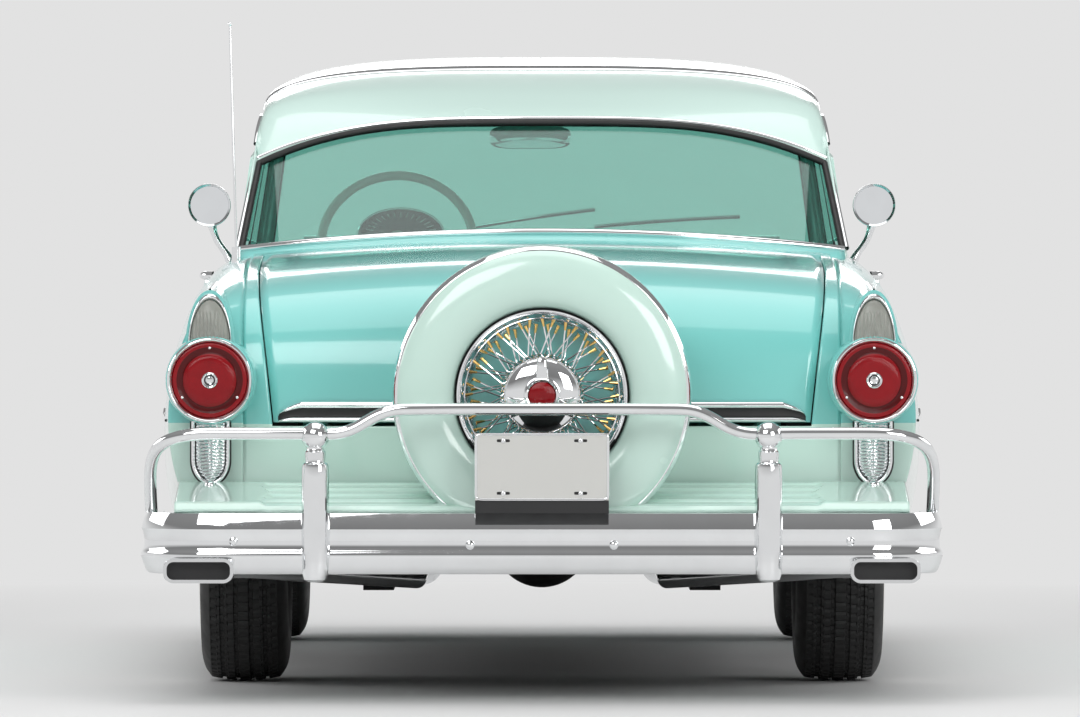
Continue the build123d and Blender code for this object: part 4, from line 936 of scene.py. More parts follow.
@dataclass
class RearQuarters:
    """The quarter panels: sides with wheel arches, strips beside the lid, tail, pods and fins."""
    door_edge: float = 2.116
    tail_start: float = 0.47
    arch: WheelArch = WheelArch(1.48, 0.346, 0.385, 0.655)
    lamp: tuple[float, float] = (0.775, 0.743)
    pod_radius: float = 0.104
    pod_rear: float = 0.3595
    fin_rear: float = 0.3835
    fin_half: float = 0.058
    fin_top: float = 0.9535
    fin_front: float = 1.05
    fin_ease: float = 0.66
    bead_front: float = 0.98
    glass_edge: float = 1.4201
    lid_front: float = 1.314
    lid_gap: float = 0.004
    paint_z: float = 0.636

    def bottom(self, station: Array) -> Array:
        """The side's lower edge: the sill, lifted over the wheel to a flat-topped arch."""
        return self.arch.lift(station, SHAPE.row(station)["low"])

    def build(self) -> None:
        """Makes both quarters, the panel under the lid and the deck ahead of it."""
        stations = self.arch.stations(self.tail_start, self.door_edge, (40, 60, 14))
        for side in Side:
            panel = SidePanel(f"quarter_{side.word}", "body", (), side, stations, self.bottom)
            panel.build()
            grid, _ = panel.grid()
            self.tail(grid[0], side)
        self.strips()
        self.pods()

    def tail(self, outline: Array, side: Side) -> None:
        """Closes the quarter's rear end: the last section drawn in to the strip, rolling rearwards.

        Args:
            outline: the quarter's last section, from the shoulder's inner end down to the bottom.
            side: which side.
        """
        line, normal = SHAPE.deck_line(400)
        edge = SHAPE.deck_surface(line, normal, np.array([SHAPE.strip_x]))[:, 0]
        z = np.minimum(outline[:, 2], outline[0, 2])
        z = np.minimum.accumulate(z)
        low_first = edge[edge[:, 2] < outline[0, 2] + 0.001][::-1]
        inner_y = np.interp(z, low_first[:, 2], low_first[:, 1])
        inner = stacked(side.value * SHAPE.strip_x, inner_y, z)
        share = np.linspace(0, 1, 28)[:, None, None]
        grid = outline[None] * (1 - share) + inner[None] * share
        roll = 1 - np.sqrt(np.maximum(1 - (1 - share[..., 0]) ** 2, 0.0))
        grid[..., 1] = inner[None, :, 1] + (outline[None, :, 1] - inner[None, :, 1]) * roll
        trim_z = TRIM.z(np.array([self.tail_start]))[0]
        marks = (0.5 * (outline[1:, 2] + outline[:-1, 2]) < trim_z).astype(int)
        skin = Skin(f"tail_{side.word}", [AQUA, MINT]).add(grid, mark=marks)
        skin.build("body", "aqua_paint", Shade.SMOOTH, outside=(0.0, place(1.2), 0.6), thickness=0.006)

    def strips(self) -> None:
        """The deck's surface outside the lid: a strip each side, and the panels below and ahead of it."""
        line, normal = SHAPE.deck_line(300)
        behind = line[:, 0] <= self.glass_edge
        line, normal = line[behind], normal[behind]
        near = SHAPE.lid_half(line[:, 1:]) + self.lid_gap
        share = np.linspace(0, 1, 8)[None, :]
        strip = SHAPE.deck_surface(line, normal, near + (SHAPE.strip_x - near) * share)
        skin = Skin("tail_panel", [AQUA, MINT])
        above = line[:, 1] >= self.paint_z
        for rows, mark in ((above, 0), (~above | np.roll(~above, -1), 1)):
            skin.both(strip[rows], mark=mark)
        span = np.linspace(-1, 1, 61)[None, :]
        for rows, mark in ((~above, 1), (line[:, 0] > self.lid_front, 0)):
            skin.add(SHAPE.deck_surface(line[rows], normal[rows], near[rows] * span), mark=mark)
        skin.build("body", "aqua_paint", outside=(0, place(1.0), 0.6), replaces=["rear_body"],
                   thickness=0.008)

    def pods(self) -> None:
        """Lamp pods turned about the lamp's axis, and fins: a half ellipse carried forward and sinking."""
        skin = Skin("lamp_pods", [AQUA])
        r, rear = self.pod_radius, self.pod_rear
        profile = ((0.53, r + 0.006), (0.46, r + 0.004), (0.4, r + 0.002), (0.372, r), (0.363, r - 0.0015),
                   (rear, r - 0.005), (rear, r - 0.016), (rear + 0.02, r - 0.018))
        skin.both(lathe(profile, *self.lamp, 72), wrap_v=True)
        d = np.concatenate([[self.fin_rear], np.linspace(self.fin_rear, self.fin_front, 40)])
        ease = np.clip((d - self.fin_rear) / self.fin_ease, 0, 1)
        top = self.fin_top + 0.022 * ease
        half = self.fin_half * (1 - 0.45 * ease)
        base = 0.76 + 0.215 * ease
        spring = base + 0.055 * (1 - ease)
        half[0], top[0], spring[0] = 0.0, 0.8, 0.8
        turn = np.pad(np.linspace(-np.pi / 2, np.pi / 2, 41), 1, mode="edge")
        x = self.lamp[0] + half[:, None] * np.sin(turn)
        z = spring[:, None] + (top - spring)[:, None] * np.cos(turn)
        z[:, 0], z[:, -1] = base, base
        skin.both(stacked(x, place(d)[:, None], z))
        skin.build("body", "aqua_paint", outside=(0, place(1.4), 0.5))
        along = np.linspace(self.fin_rear, self.bead_front, 40)
        crest = stacked(self.lamp[0], place(along), np.interp(along, d[1:], top[1:]) + 0.001)
        bead = Skin("fin_beads", [CHROME])
        bead.both(tube(crest, 0.004 * np.sin(np.linspace(0.25, np.pi, 40)) ** 0.5 + 0.0008, 10), wrap_v=True)
        bead.build("body", "chrome", Shade.SMOOTH)


@dataclass
class WheelHouses:
    """The rear wheel houses: half a drum over each wheel, walled off from the boot."""
    centre: tuple[float, float] = (1.48, 0.346)
    radius: float = 0.388
    span: tuple[float, float] = (0.588, 0.868)
    foot: float = 0.43

    def build(self) -> None:
        """Makes each house: a half circle carried out over the wheel, let straight down at the boot."""
        turn = np.linspace(0, np.pi, 48)
        y = place(self.centre[0] - self.radius * np.cos(turn))
        top = np.maximum(self.centre[1] + self.radius * np.sin(turn), self.foot)
        rows = ((self.span[0], self.foot), (self.span[0], top), (self.span[1], top))
        grid = np.stack([stacked(x, y, z) for x, z in rows])
        for side in Side:
            Skin(f"wheel_house_{side.word}", [FRAME_BLACK]).add(sided(grid, side)).build(
                "body", "dark_steel", outside=(0.72 * side.value, place(self.centre[0]), self.foot),
                thickness=0.002)


@dataclass
class Doors:
    """The two doors, each a hollow shell as thick as the door."""
    rear: float = 2.123
    front: float = 3.377
    sill: float = 0.346
    wall: float = 0.075

    def build(self) -> None:
        """Makes both doors from the body's side."""
        stations = np.linspace(self.rear, self.front, 56)
        for side in Side:
            door = f"door_{side.word}"
            SidePanel(f"door_skin_{side.word}", door, (door,), side, stations,
                      lambda d: np.full_like(d, self.sill), wall=self.wall).build()


@dataclass
class FrontWings:
    """The front fenders, from the door to the headlamp, with their round wheel arches."""
    rear: float = 3.383
    nose: float = 5.082
    arch: WheelArch = WheelArch(4.414, 0.346, 0.402)
    bumper_from: float = 4.786
    bumper_z: float = 0.488
    inner_x: float = 0.647
    nose_roll: float = 0.052

    def bottom(self, station: Array) -> Array:
        """The sill, lifted over the wheel and, ahead of it, to the bumper's top."""
        low = np.where(station > self.bumper_from, self.bumper_z, SHAPE.row(station)["low"])
        return self.arch.lift(station, low)

    def build(self) -> None:
        """Makes both fenders' sides and their noses."""
        stations = self.arch.stations(self.rear, self.nose, (22, 64, 16))
        for side in Side:
            panel = SidePanel(f"fender_{side.word}", "body", (), side, stations, self.bottom, self.inner_x)
            panel.build()
            grid, marks = panel.grid()
            self.nose_cap(grid[-1], marks, side)
            self.hood_side(grid[:, 0], side)

    def hood_side(self, edge: Array, side: Side) -> None:
        """The fender's wall beside the hood: its inner edge, carried to the nose and let straight down.

        Args:
            edge: the fender's inner edge, one point for each station.
            side: which side.
        """
        along = np.linspace(4.6, self.nose + self.nose_roll, 60)
        top = np.interp(place(along), edge[:, 1], edge[:, 2])
        z = np.linspace(top, np.full_like(top, 0.7), 12, axis=1)
        wall = stacked(side.value * self.inner_x, place(along)[:, None], z)
        Skin(f"hood_side_{side.word}", [AQUA]).add(wall).build(
            "body", "aqua_paint", outside=(2.0 * side.value, place(4.9), 0.8), thickness=0.003)

    def nose_cap(self, outline: Array, marks: Array, side: Side) -> None:
        """Closes the fender's front: the last section drawn in to the nose panel, rolling forward as it goes.

        Args:
            outline: the fender's last section, from the shoulder's inner end down to the bottom.
            marks: the paint of each stretch of it.
            side: which side.
        """
        inner = outline.copy()
        inner[:, 0] = side.value * self.inner_x
        inner[:, 2] = np.minimum(outline[:, 2], outline[0, 2])
        share = np.linspace(0, 1, 28)[:, None, None]
        grid = outline[None] * (1 - share) + inner[None] * share
        grid[..., 1] += self.nose_roll * np.sqrt(np.maximum(1 - (1 - share[..., 0]) ** 2, 0.0))
        skin = Skin(f"fender_nose_{side.word}", [AQUA, MINT]).add(grid, mark=marks)
        skin.build("body", "aqua_paint", outside=(0.0, place(4.2), 0.7),
                   replaces=["front_fenders"] if side is Side.RIGHT else [], thickness=0.006)


@dataclass
class Headlamps:
    """The two headlamps: a domed lens in a bright ring that stands out of the fender's front."""
    x: float = 0.738
    z: float = 0.782
    ring: tuple = ((5.09, 0.093), (5.135, 0.093), (5.15, 0.0915), (5.1575, 0.088), (5.159, 0.085),
                   (5.156, 0.0815), (5.148, 0.08))
    lens: tuple = ((5.1485, 0.0802), (5.153, 0.066), (5.1565, 0.046), (5.1585, 0.023), (5.159, 0.0))

    def build(self) -> None:
        """Turns ring and lens about the lamp's axis."""
        for name, finish, slot, rows, nodes in (
                ("headlamp_rings", CHROME, "chrome", self.ring, []),
                ("headlamp_lenses", LAMP_GLASS, "clear_lens", self.lens, ["headlamps"])):
            skin = Skin(name, [finish]).both(lathe(through(rows, 24), self.x, self.z, 64), wrap_v=True)
            skin.build("body", slot, outside=(0.0, place(4.0), self.z), replaces=nodes)


@dataclass
class Hood:
    """The hood: a centre line from the cowl to the grille, carried across with a crown and a ridge."""
    line: tuple = ((3.803, 1.1), (4.2, 1.08), (4.6, 1.044), (4.86, 1.002), (4.99, 0.956), (5.045, 0.895),
                   (5.06, 0.83), (5.062, 0.783))
    half: float = 0.64
    drop: float = 0.04
    ridge: float = 0.008
    wall: float = 0.016

    def build(self) -> None:
        """Makes the hood as a shell."""
        line = through(self.line, 120)
        along = unit(np.gradient(line, axis=0))
        normal = stacked(-along[:, 1], along[:, 0])
        x = np.linspace(-self.half, self.half, 73)[None, :]
        sink = self.drop * (x / self.half) ** 2 - self.ridge * np.exp(-(x / 0.05) ** 2)
        grid = stacked(x, place(line[:, :1] - normal[:, :1] * sink), line[:, 1:] - normal[:, 1:] * sink)
        skin = Skin("hood_skin", [AQUA]).add(grid)
        skin.build("hood", "aqua_paint", outside=(0, place(4.4), 0.6), replaces=["hood"],
                   thickness=self.wall)


# Bumpers, lamps and the other bright work


def domed(spots: Sequence[Point], radius: float, height: float, skin: Skin, mark: int = 0) -> None:
    """Adds round heads that stand off a rear face: a quarter of an ellipse turned about the car's long axis.

    Args:
        spots: (x, station, z) of each head's middle on the face.
        radius: the head's radius.
        height: how far it stands off.
        skin: takes the heads.
        mark: which finish they take.
    """
    turn = np.linspace(0, np.pi / 2, 7)
    for x, station, z in spots:
        profile = stacked(-height * np.sin(turn), radius * np.cos(turn))
        profile = np.concatenate([[(0.004, radius)], profile])
        skin.add(turned(profile, (x, place(station), z), "y", 20), wrap_v=True, mark=mark)


def round_box(half_x: float, half_z: float, power: float, count: int) -> Array:
    """A rounded oblong: cos and sin raised to 2 / power, so that a larger power gives squarer corners.

    Args:
        half_x: half its width.
        half_z: half its height.
        power: how square it is.
        count: how many points.
    Returns:
        The outline as (across, up).
    """
    turn = full_turn(count)
    c, s = np.cos(turn), np.sin(turn)
    return stacked(half_x * np.sign(c) * np.abs(c) ** (2 / power),
                   half_z * np.sign(s) * np.abs(s) ** (2 / power))


@dataclass
class RearBumper:
    """The set-back rear bumper: a pressed section carried across the tail and round its corners.

    Rows of an outlet's rings give station, share of its half width, share of its half height, and finish.
    """
    half: float = 0.932
    corner: float = 0.19
    face: float = 0.0665
    wrap: float = 0.465
    section: tuple = ((0.048, 0.436), (0.024, 0.44), (0.013, 0.4385), (0.007, 0.425), (0.003, 0.41),
                      (0.0015, 0.402), (0.004, 0.396), (0.0065, 0.385), (0.0075, 0.37), (0.0065, 0.357),
                      (0.003, 0.35), (0.0, 0.345), (0.0, 0.337), (0.002, 0.331), (0.007, 0.317),
                      (0.012, 0.304), (0.018, 0.298), (0.048, 0.2972))
    bolts: tuple = ((0.712, 0.0725, 0.374), (0.166, 0.0725, 0.366))
    port: tuple = (0.792, 0.307)
    port_half: tuple = (0.081, 0.0285)
    # Rings with finish 1 are black: painted shade for the inside of each outlet, closed by a black floor.
    port_rings: tuple = ((0.11, 1.0, 1.0, 0), (0.05, 1.0, 1.0, 0), (0.041, 0.9965, 0.99, 0),
                         (0.037, 0.98775, 0.965, 0), (0.0385, 0.97725, 0.935, 0), (0.045, 0.97025, 0.915, 0),
                         (0.05, 0.96675, 0.905, 1), (0.062, 0.958, 0.88, 1), (0.062, 0.0, 0.0, 1))

    def plan(self) -> tuple[Array, Array]:
        """The bumper's outer line in plan and its outward normals: straight, quarter circle, straight.

        Returns:
            Places as (x, station) from left end to right end, and normals.
        """
        flat = self.half - self.corner
        across = stacked(np.linspace(0, flat, 40), self.face)
        turn = np.linspace(-np.pi / 2, 0, 28)[1:]
        bend = stacked(flat + self.corner * np.cos(turn), self.face + self.corner * (1 + np.sin(turn)))
        ahead = np.linspace(self.face + self.corner, self.wrap, 14)[1:]
        side = stacked(self.half, ahead)
        right = np.concatenate([across, bend, side])
        normal = np.concatenate([np.tile([0.0, -1.0], (40, 1)), stacked(np.cos(turn), np.sin(turn)),
                                 np.tile([1.0, 0.0], (13, 1))])
        flip = np.array([-1.0, 1.0])
        return np.concatenate([right[:0:-1] * flip, right]), np.concatenate([normal[:0:-1] * flip, normal])

    def build(self) -> None:
        """Makes the bumper, its bolt heads and the two exhaust outlets."""
        line, normal = self.plan()
        section = np.asarray(self.section)
        flat = line[:, None, :] - normal[:, None, :] * section[None, :, :1]
        grid = stacked(flat[..., 0], place(flat[..., 1]), section[:, 1])
        skin = Skin("rear_bumper_shell", [CHROME, FRAME_BLACK])
        skin.add(capped(grid), wrap_v=True)
        spots = [(s * x, d, z) for s in (1, -1) for x, d, z in self.bolts]
        domed(spots, 0.0105, 0.007, skin)
        self.outlets(skin)
        skin.build("body", "chrome", replaces=["rear_bumper"])

    def outlets(self, skin: Skin) -> None:
        """Adds the outlets: a rounded oblong carried rearwards, over its lip and back in to a black wall and
        floor, painted shade for the dark inside of each opening.

        Args:
            skin: takes the surfaces.
        """
        rings = np.array(self.port_rings)
        oblong = round_box(*self.port_half, 4.5, 72)
        x, z = self.port
        grid = stacked(x + oblong[:, 0] * rings[:, 1:2], place(rings[:, :1]),
                       z + oblong[:, 1] * rings[:, 2:3])
        skin.both(grid, wrap_v=True, mark=rings[1:, 3:].astype(int))


@dataclass
class BumperTop:
    """The rail over the bumper and the two upright guards that carry it."""
    rail_radius: float = 0.0145
    rail: tuple = ((0.908, 0.262, 0.441), (0.908, 0.19, 0.512), (0.9, 0.12, 0.566), (0.872, 0.066, 0.602),
                   (0.82, 0.04, 0.619), (0.74, 0.034, 0.6235), (0.64, 0.033, 0.6235), (0.53, 0.033, 0.6225),
                   (0.47, 0.033, 0.624), (0.43, 0.033, 0.636), (0.39, 0.033, 0.659), (0.35, 0.033, 0.675),
                   (0.3, 0.033, 0.679), (0.2, 0.033, 0.68), (0.0, 0.033, 0.68))
    guard_x: float = 0.522
    guard_station: float = 0.033
    ball_z: float = 0.618
    ball_radius: float = 0.033
    post: tuple = ((0.2805, 0.0), (0.2815, 0.018), (0.287, 0.026), (0.3, 0.03), (0.33, 0.0318),
                   (0.42, 0.0325), (0.5, 0.032), (0.545, 0.0315), (0.5525, 0.03), (0.556, 0.0265),
                   (0.557, 0.024), (0.56, 0.0232), (0.574, 0.024), (0.581, 0.024), (0.585, 0.0205),
                   (0.588, 0.0195), (0.591, 0.0205))

    def build(self) -> None:
        """Carries the rail's round section along its line, and turns the guards."""
        right = np.asarray(self.rail)
        line = through(np.concatenate([right, right[-2::-1] * np.array([-1, 1, 1])]), 220)
        line[:, 1] = place(line[:, 1])
        rail = capped(tube(line, self.rail_radius, 20, up=(0, 1, 1)))
        Skin("rail_tube", [CHROME]).add(rail, wrap_v=True).build("body", "chrome", replaces=["bumper_rail"])
        turn = np.linspace(np.radians(-52), np.pi / 2, 18)
        ball = stacked(self.ball_z + self.ball_radius * np.sin(turn), self.ball_radius * np.cos(turn))
        profile = np.concatenate([np.asarray(self.post), ball])
        grid = turned(profile, (self.guard_x, place(self.guard_station), 0.0), "z", 40)
        posts = Skin("guard_posts", [CHROME]).both(grid, wrap_v=True)
        posts.build("body", "chrome", replaces=["bumper_guards"])


@dataclass
class TailLamps:
    """Tail lamp, its bezel, the reversing lamp over it and the ribbed shield under it, on both sides."""
    x: float = 0.775
    z: float = 0.743
    lens_rear: float = 0.3352
    screw_ring: float = 0.0755
    dish: tuple = ((0.004, 0.0), (0.0032, 0.02), (0.0022, 0.04), (0.003, 0.052), (0.0052, 0.0585),
                   (0.009, 0.062), (0.011, 0.065), (0.0108, 0.072), (0.0086, 0.0775), (0.008, 0.082),
                   (0.0098, 0.0862), (0.014, 0.0885), (0.022, 0.089))
    cap: tuple = ((0.0055, 0.0185), (0.0018, 0.0185), (0.0004, 0.0165), (0.001, 0.014), (0.0032, 0.0125),
                  (0.0034, 0.01), (0.0012, 0.008), (0.0004, 0.0045), (0.0, 0.0))
    ring: tuple = ((0.36, 0.0965), (0.3595, 0.1), (0.348, 0.1), (0.3425, 0.0992), (0.3398, 0.0972),
                   (0.3394, 0.0955), (0.3402, 0.0938), (0.343, 0.0915), (0.345, 0.0895), (0.352, 0.0885))
    shield: tuple = (0.502, 0.65, 0.041)
    shield_rear: float = 0.4045

    def build(self) -> None:
        """Makes the four kinds of pieces."""
        self.lens()
        self.bezel()
        self.reversing()
        self.ribbed_shield()

    def lens(self) -> None:
        """The red lens: a dished ring round a raised, nearly flat disc."""
        away = (0, place(1.5), self.z)
        dish = np.array(self.dish) + (self.lens_rear, 0.0)
        marks = np.array([0, 0, 0, 0, 0, 1, 1, 1, 0, 0, 0, 0])[:, None]
        lens = Skin("tail_lens_pair", [RED_LENS, DEEP_RED_LENS])
        lens.both(lathe(dish, self.x, self.z, 96), wrap_v=True, mark=marks)
        lens.build("body", "red_lens", outside=away, replaces=["tail_lenses"])
        skin = Skin("lens_screws", [CHROME, GASKET])
        for side in Side:
            spots = [(side.value * self.x + self.screw_ring * math.sin(a), self.lens_rear + 0.0096,
                      self.z + self.screw_ring * math.cos(a)) for a in np.radians((0, 122, 238))]
            domed(spots, 0.0036, 0.0022, skin)
        cap = np.array(self.cap) + (self.lens_rear, 0.0)
        # The floor of the groove in the chrome cap takes the black rubber finish: painted shade in the
        # recess.
        marks = np.array([0, 0, 0, 0, 1, 0, 0, 0])[:, None]
        skin.both(lathe(cap, self.x, self.z, 40), wrap_v=True, mark=marks)
        skin.build("body", "chrome")

    def bezel(self) -> None:
        """The bright ring round the lens: a rounded outer bead and a slope down to the lens."""
        Skin("lamp_bezels", [CHROME]).both(lathe(self.ring, self.x, self.z, 96), wrap_v=True).build(
            "body", "chrome", outside=(0, place(1.5), self.z), replaces=["tail_trim"])

    def arch(self, half: float, low: float, high: float, count: int) -> Array:
        """The reversing lamp's outline: half an ellipse, standing on its springing line."""
        turn = np.linspace(-np.pi / 2, np.pi / 2, count)
        return stacked(half * np.sin(turn), low + (high - low) * np.cos(turn))

    def reversing(self) -> None:
        """The reversing lamp: the arch drawn in to its middle as a bulging lens, in a half-round rim."""
        line = self.arch(0.047, 0.821, 0.9305, 64)
        shut = stacked(np.linspace(0.047, -0.047, 32)[1:-1], 0.821)
        loop = np.concatenate([line, shut])
        share = np.sin(np.linspace(0, np.pi / 2, 20))[::-1, None, None]
        centre = np.array([0.0, 0.866])
        flat = centre + (loop[None] - centre) * share
        bulge = 0.02 * np.sqrt(np.maximum(1 - share[..., 0] ** 2, 0.0))
        fluted = (flat[..., 1] < 0.9) & (share[..., 0] < 0.96)
        flutes = 0.0012 * np.cos(2 * np.pi * flat[..., 0] / 0.0085) * fluted
        grid = stacked(self.x + flat[..., 0], place(0.3795 - bulge + flutes), flat[..., 1])
        Skin("reversing_lens", [CLEAR_LENS]).both(grid, wrap_v=True).build(
            "body", "clear_lens", outside=(0, place(1.5), self.z), replaces=["backup_lenses"])
        across = np.linspace(0, 1, 11)[:, None, None]
        inside, outside = self.arch(0.0466, 0.82, 0.9302, 90), self.arch(0.0522, 0.82, 0.9466, 90)
        edge = inside * (1 - across) + outside * across
        station = 0.383 - 0.0125 * np.sin(np.pi * across[..., 0]) ** 0.6
        rim = stacked(self.x + edge[..., 0], place(station), edge[..., 1])
        Skin("reversing_rim", [CHROME]).both(rim).build(
            "body", "chrome", Shade.SMOOTH, outside=(0, place(1.5), self.z))

    def shield_half(self, z: Array) -> Array:
        """Half the shield's width: full in its upper half, then drawn in on a round curve to its foot.

        Args:
            z: heights.
        Returns:
            The half width at each.
        """
        low, high, half = self.shield
        t = np.clip((z - low) / (0.38 * (high - low)), 0, 1)
        return half * np.sqrt(1 - (1 - t) ** 2)

    def ribbed_shield(self) -> None:
        """The shield under the lamp: cross ribs over a ridge, a bright rim, a black sheet behind it that
        shows at its sides and below it as a painted shadow, and a stud.
        """
        low, high, half = self.shield
        z = low + (high - low) * (1 - np.cos(np.linspace(0, np.pi / 2, 170)))
        w = self.shield_half(z)[:, None]
        q = np.linspace(-1, 1, 41)[None, :]
        rear = self.shield_rear
        inner = np.clip(1 - 0.007 / np.maximum(w, 0.008), 0.05, 1)
        ribs = 0.0015 * np.cos(2 * np.pi * (z[:, None] + 0.004 * np.abs(q) * w / half) / 0.008)
        deep = 0.0135 * np.abs(q) ** 1.4 - ribs * (1 - q ** 6)
        skin = Skin("ribbed_shields", [STAINLESS, CHROME, GASKET])
        skin.both(stacked(self.x + w * inner * q, place(rear + 0.004 + deep), z[:, None]))
        edge_z = np.concatenate([z[::-1], z])
        edge_x = np.concatenate([-w[::-1, 0], w[:, 0]])
        path = stacked(self.x + edge_x, place(rear + 0.013), edge_z)
        path = path[np.concatenate([[True], np.linalg.norm(np.diff(path, axis=0), axis=1) > 1e-6])]
        skin.both(tube(path, 0.0042, 12, up=(0, 1, 0)), wrap_v=True, mark=1)
        # Painted shadow: a black sheet behind the shield, wider than it and set lower, shows round its sides
        # and below it.
        skin.both(stacked(self.x + (w + 0.0075) * q, place(rear + 0.018), z[:, None] - 0.004), mark=2)
        domed([(side.value * self.x, rear - 0.03, 0.496) for side in Side], 0.0135, 0.014, skin, 1)
        skin.build("body", "chrome", outside=(0, place(1.5), 0.58))


@dataclass
class NumberPlate:
    """The blank plate's frame, screws and slots; the plate and its bracket keep their solid shape."""
    half: tuple[float, float] = (0.154, 0.077)
    z: float = 0.547
    station: float = 0.015
    screws: tuple[float, float] = (0.089, 0.0605)

    def build(self) -> None:
        """Makes the frame's round bead and the four screws in their slots."""
        loop = round_box(self.half[0] - 0.002, self.half[1] - 0.002, 26.0, 160)
        path = stacked(loop[:, 0], place(self.station), self.z + loop[:, 1])
        ring = np.roll(path, -1, axis=0) - np.roll(path, 1, axis=0)
        across = unit(np.cross(ring, np.array([0.0, 1.0, 0.0])))
        turn = full_turn(12)
        bead = (across[:, None] * np.cos(turn)[None, :, None]
                + np.array([0.0, 1.0, 0.0]) * np.sin(turn)[None, :, None]) * 0.0034
        skin = Skin("plate_frame", [CHROME, GASKET]).add(path[:, None] + bead, wrap_u=True, wrap_v=True)
        screw_x, screw_z = self.screws
        spots = [(a * screw_x, 0.0142, self.z + b * screw_z) for a in (1, -1) for b in (1, -1)]
        domed(spots, 0.0062, 0.004, skin)
        slot = round_box(0.015, 0.0034, 6.0, 40)
        for x, _, z in spots:
            skin.add(carried(slot, ((0.0139, 1.0), (0.0139, 0.0)), x, z), wrap_v=True, mark=1)
        skin.build("body", "chrome")


@dataclass
class Apron:
    """The splash apron behind the body: a sloping sheet with long ribs between two raised, stepped ends."""
    rear: tuple[float, float] = (0.115, 0.4545)
    front: tuple[float, float] = (0.424, 0.4995)
    half: float = 0.85
    end_from: float = 0.64
    ribs: int = 4

    def build(self) -> None:
        """Makes the sheet: its height is the slope, plus ribs between the ends and a step at them."""
        x = np.linspace(-self.half, self.half, 341)[None, :]
        t = np.linspace(0, 1, 90)[:, None]
        d = self.rear[0] + (self.front[0] - self.rear[0]) * t + 0 * x
        step = 1 / (1 + np.exp(-(np.abs(x) - self.end_from - 0.01 * np.sin(3 * np.pi * t)) / 0.0022))
        ridge = 0.0042 * np.maximum(np.cos(2 * np.pi * self.ribs * t), 0) ** 0.5
        z = self.rear[1] + (self.front[1] - self.rear[1]) * t + ridge * (1 - step) + 0.0062 * step
        roll = 0.03 * np.maximum(0, 1 - t / 0.1) ** 2
        Skin("apron_sheet", [MINT]).add(stacked(x + 0 * t, place(d), z - roll * 0.5)).build(
            "body", "mint_paint", outside=(0, 0, 0), replaces=["rear_apron"], thickness=0.01)


# Wheels, tyres and the carried spare


def rods(starts: Array, ends: Array, radii: tuple[float, float], sides: int = 6) -> Array:
    """Straight round rods: at each end a ring on two axes across the rod.

    Args:
        starts: n points.
        ends: n points.
        radii: the radius at each end.
        sides: points round a rod.
    Returns:
        An n by 2 by sides array of points.
    """
    along = unit(ends - starts)
    helper = np.where(np.abs(along[:, :1]) > 0.8, np.array([[0.0, 0.0, 1.0]]), np.array([[1.0, 0.0, 0.0]]))
    across = unit(np.cross(along, helper))
    rise = np.cross(across, along)
    turn = full_turn(sides)[None, :, None]
    ring = across[:, None] * np.cos(turn) + rise[:, None] * np.sin(turn)
    return np.stack([starts[:, None] + radii[0] * ring, ends[:, None] + radii[1] * ring], axis=1)


class Backing(Enum):
    """What is seen behind a wire wheel's spokes."""
    BODY_PAINT = "paint"
    DRUM = "drum"


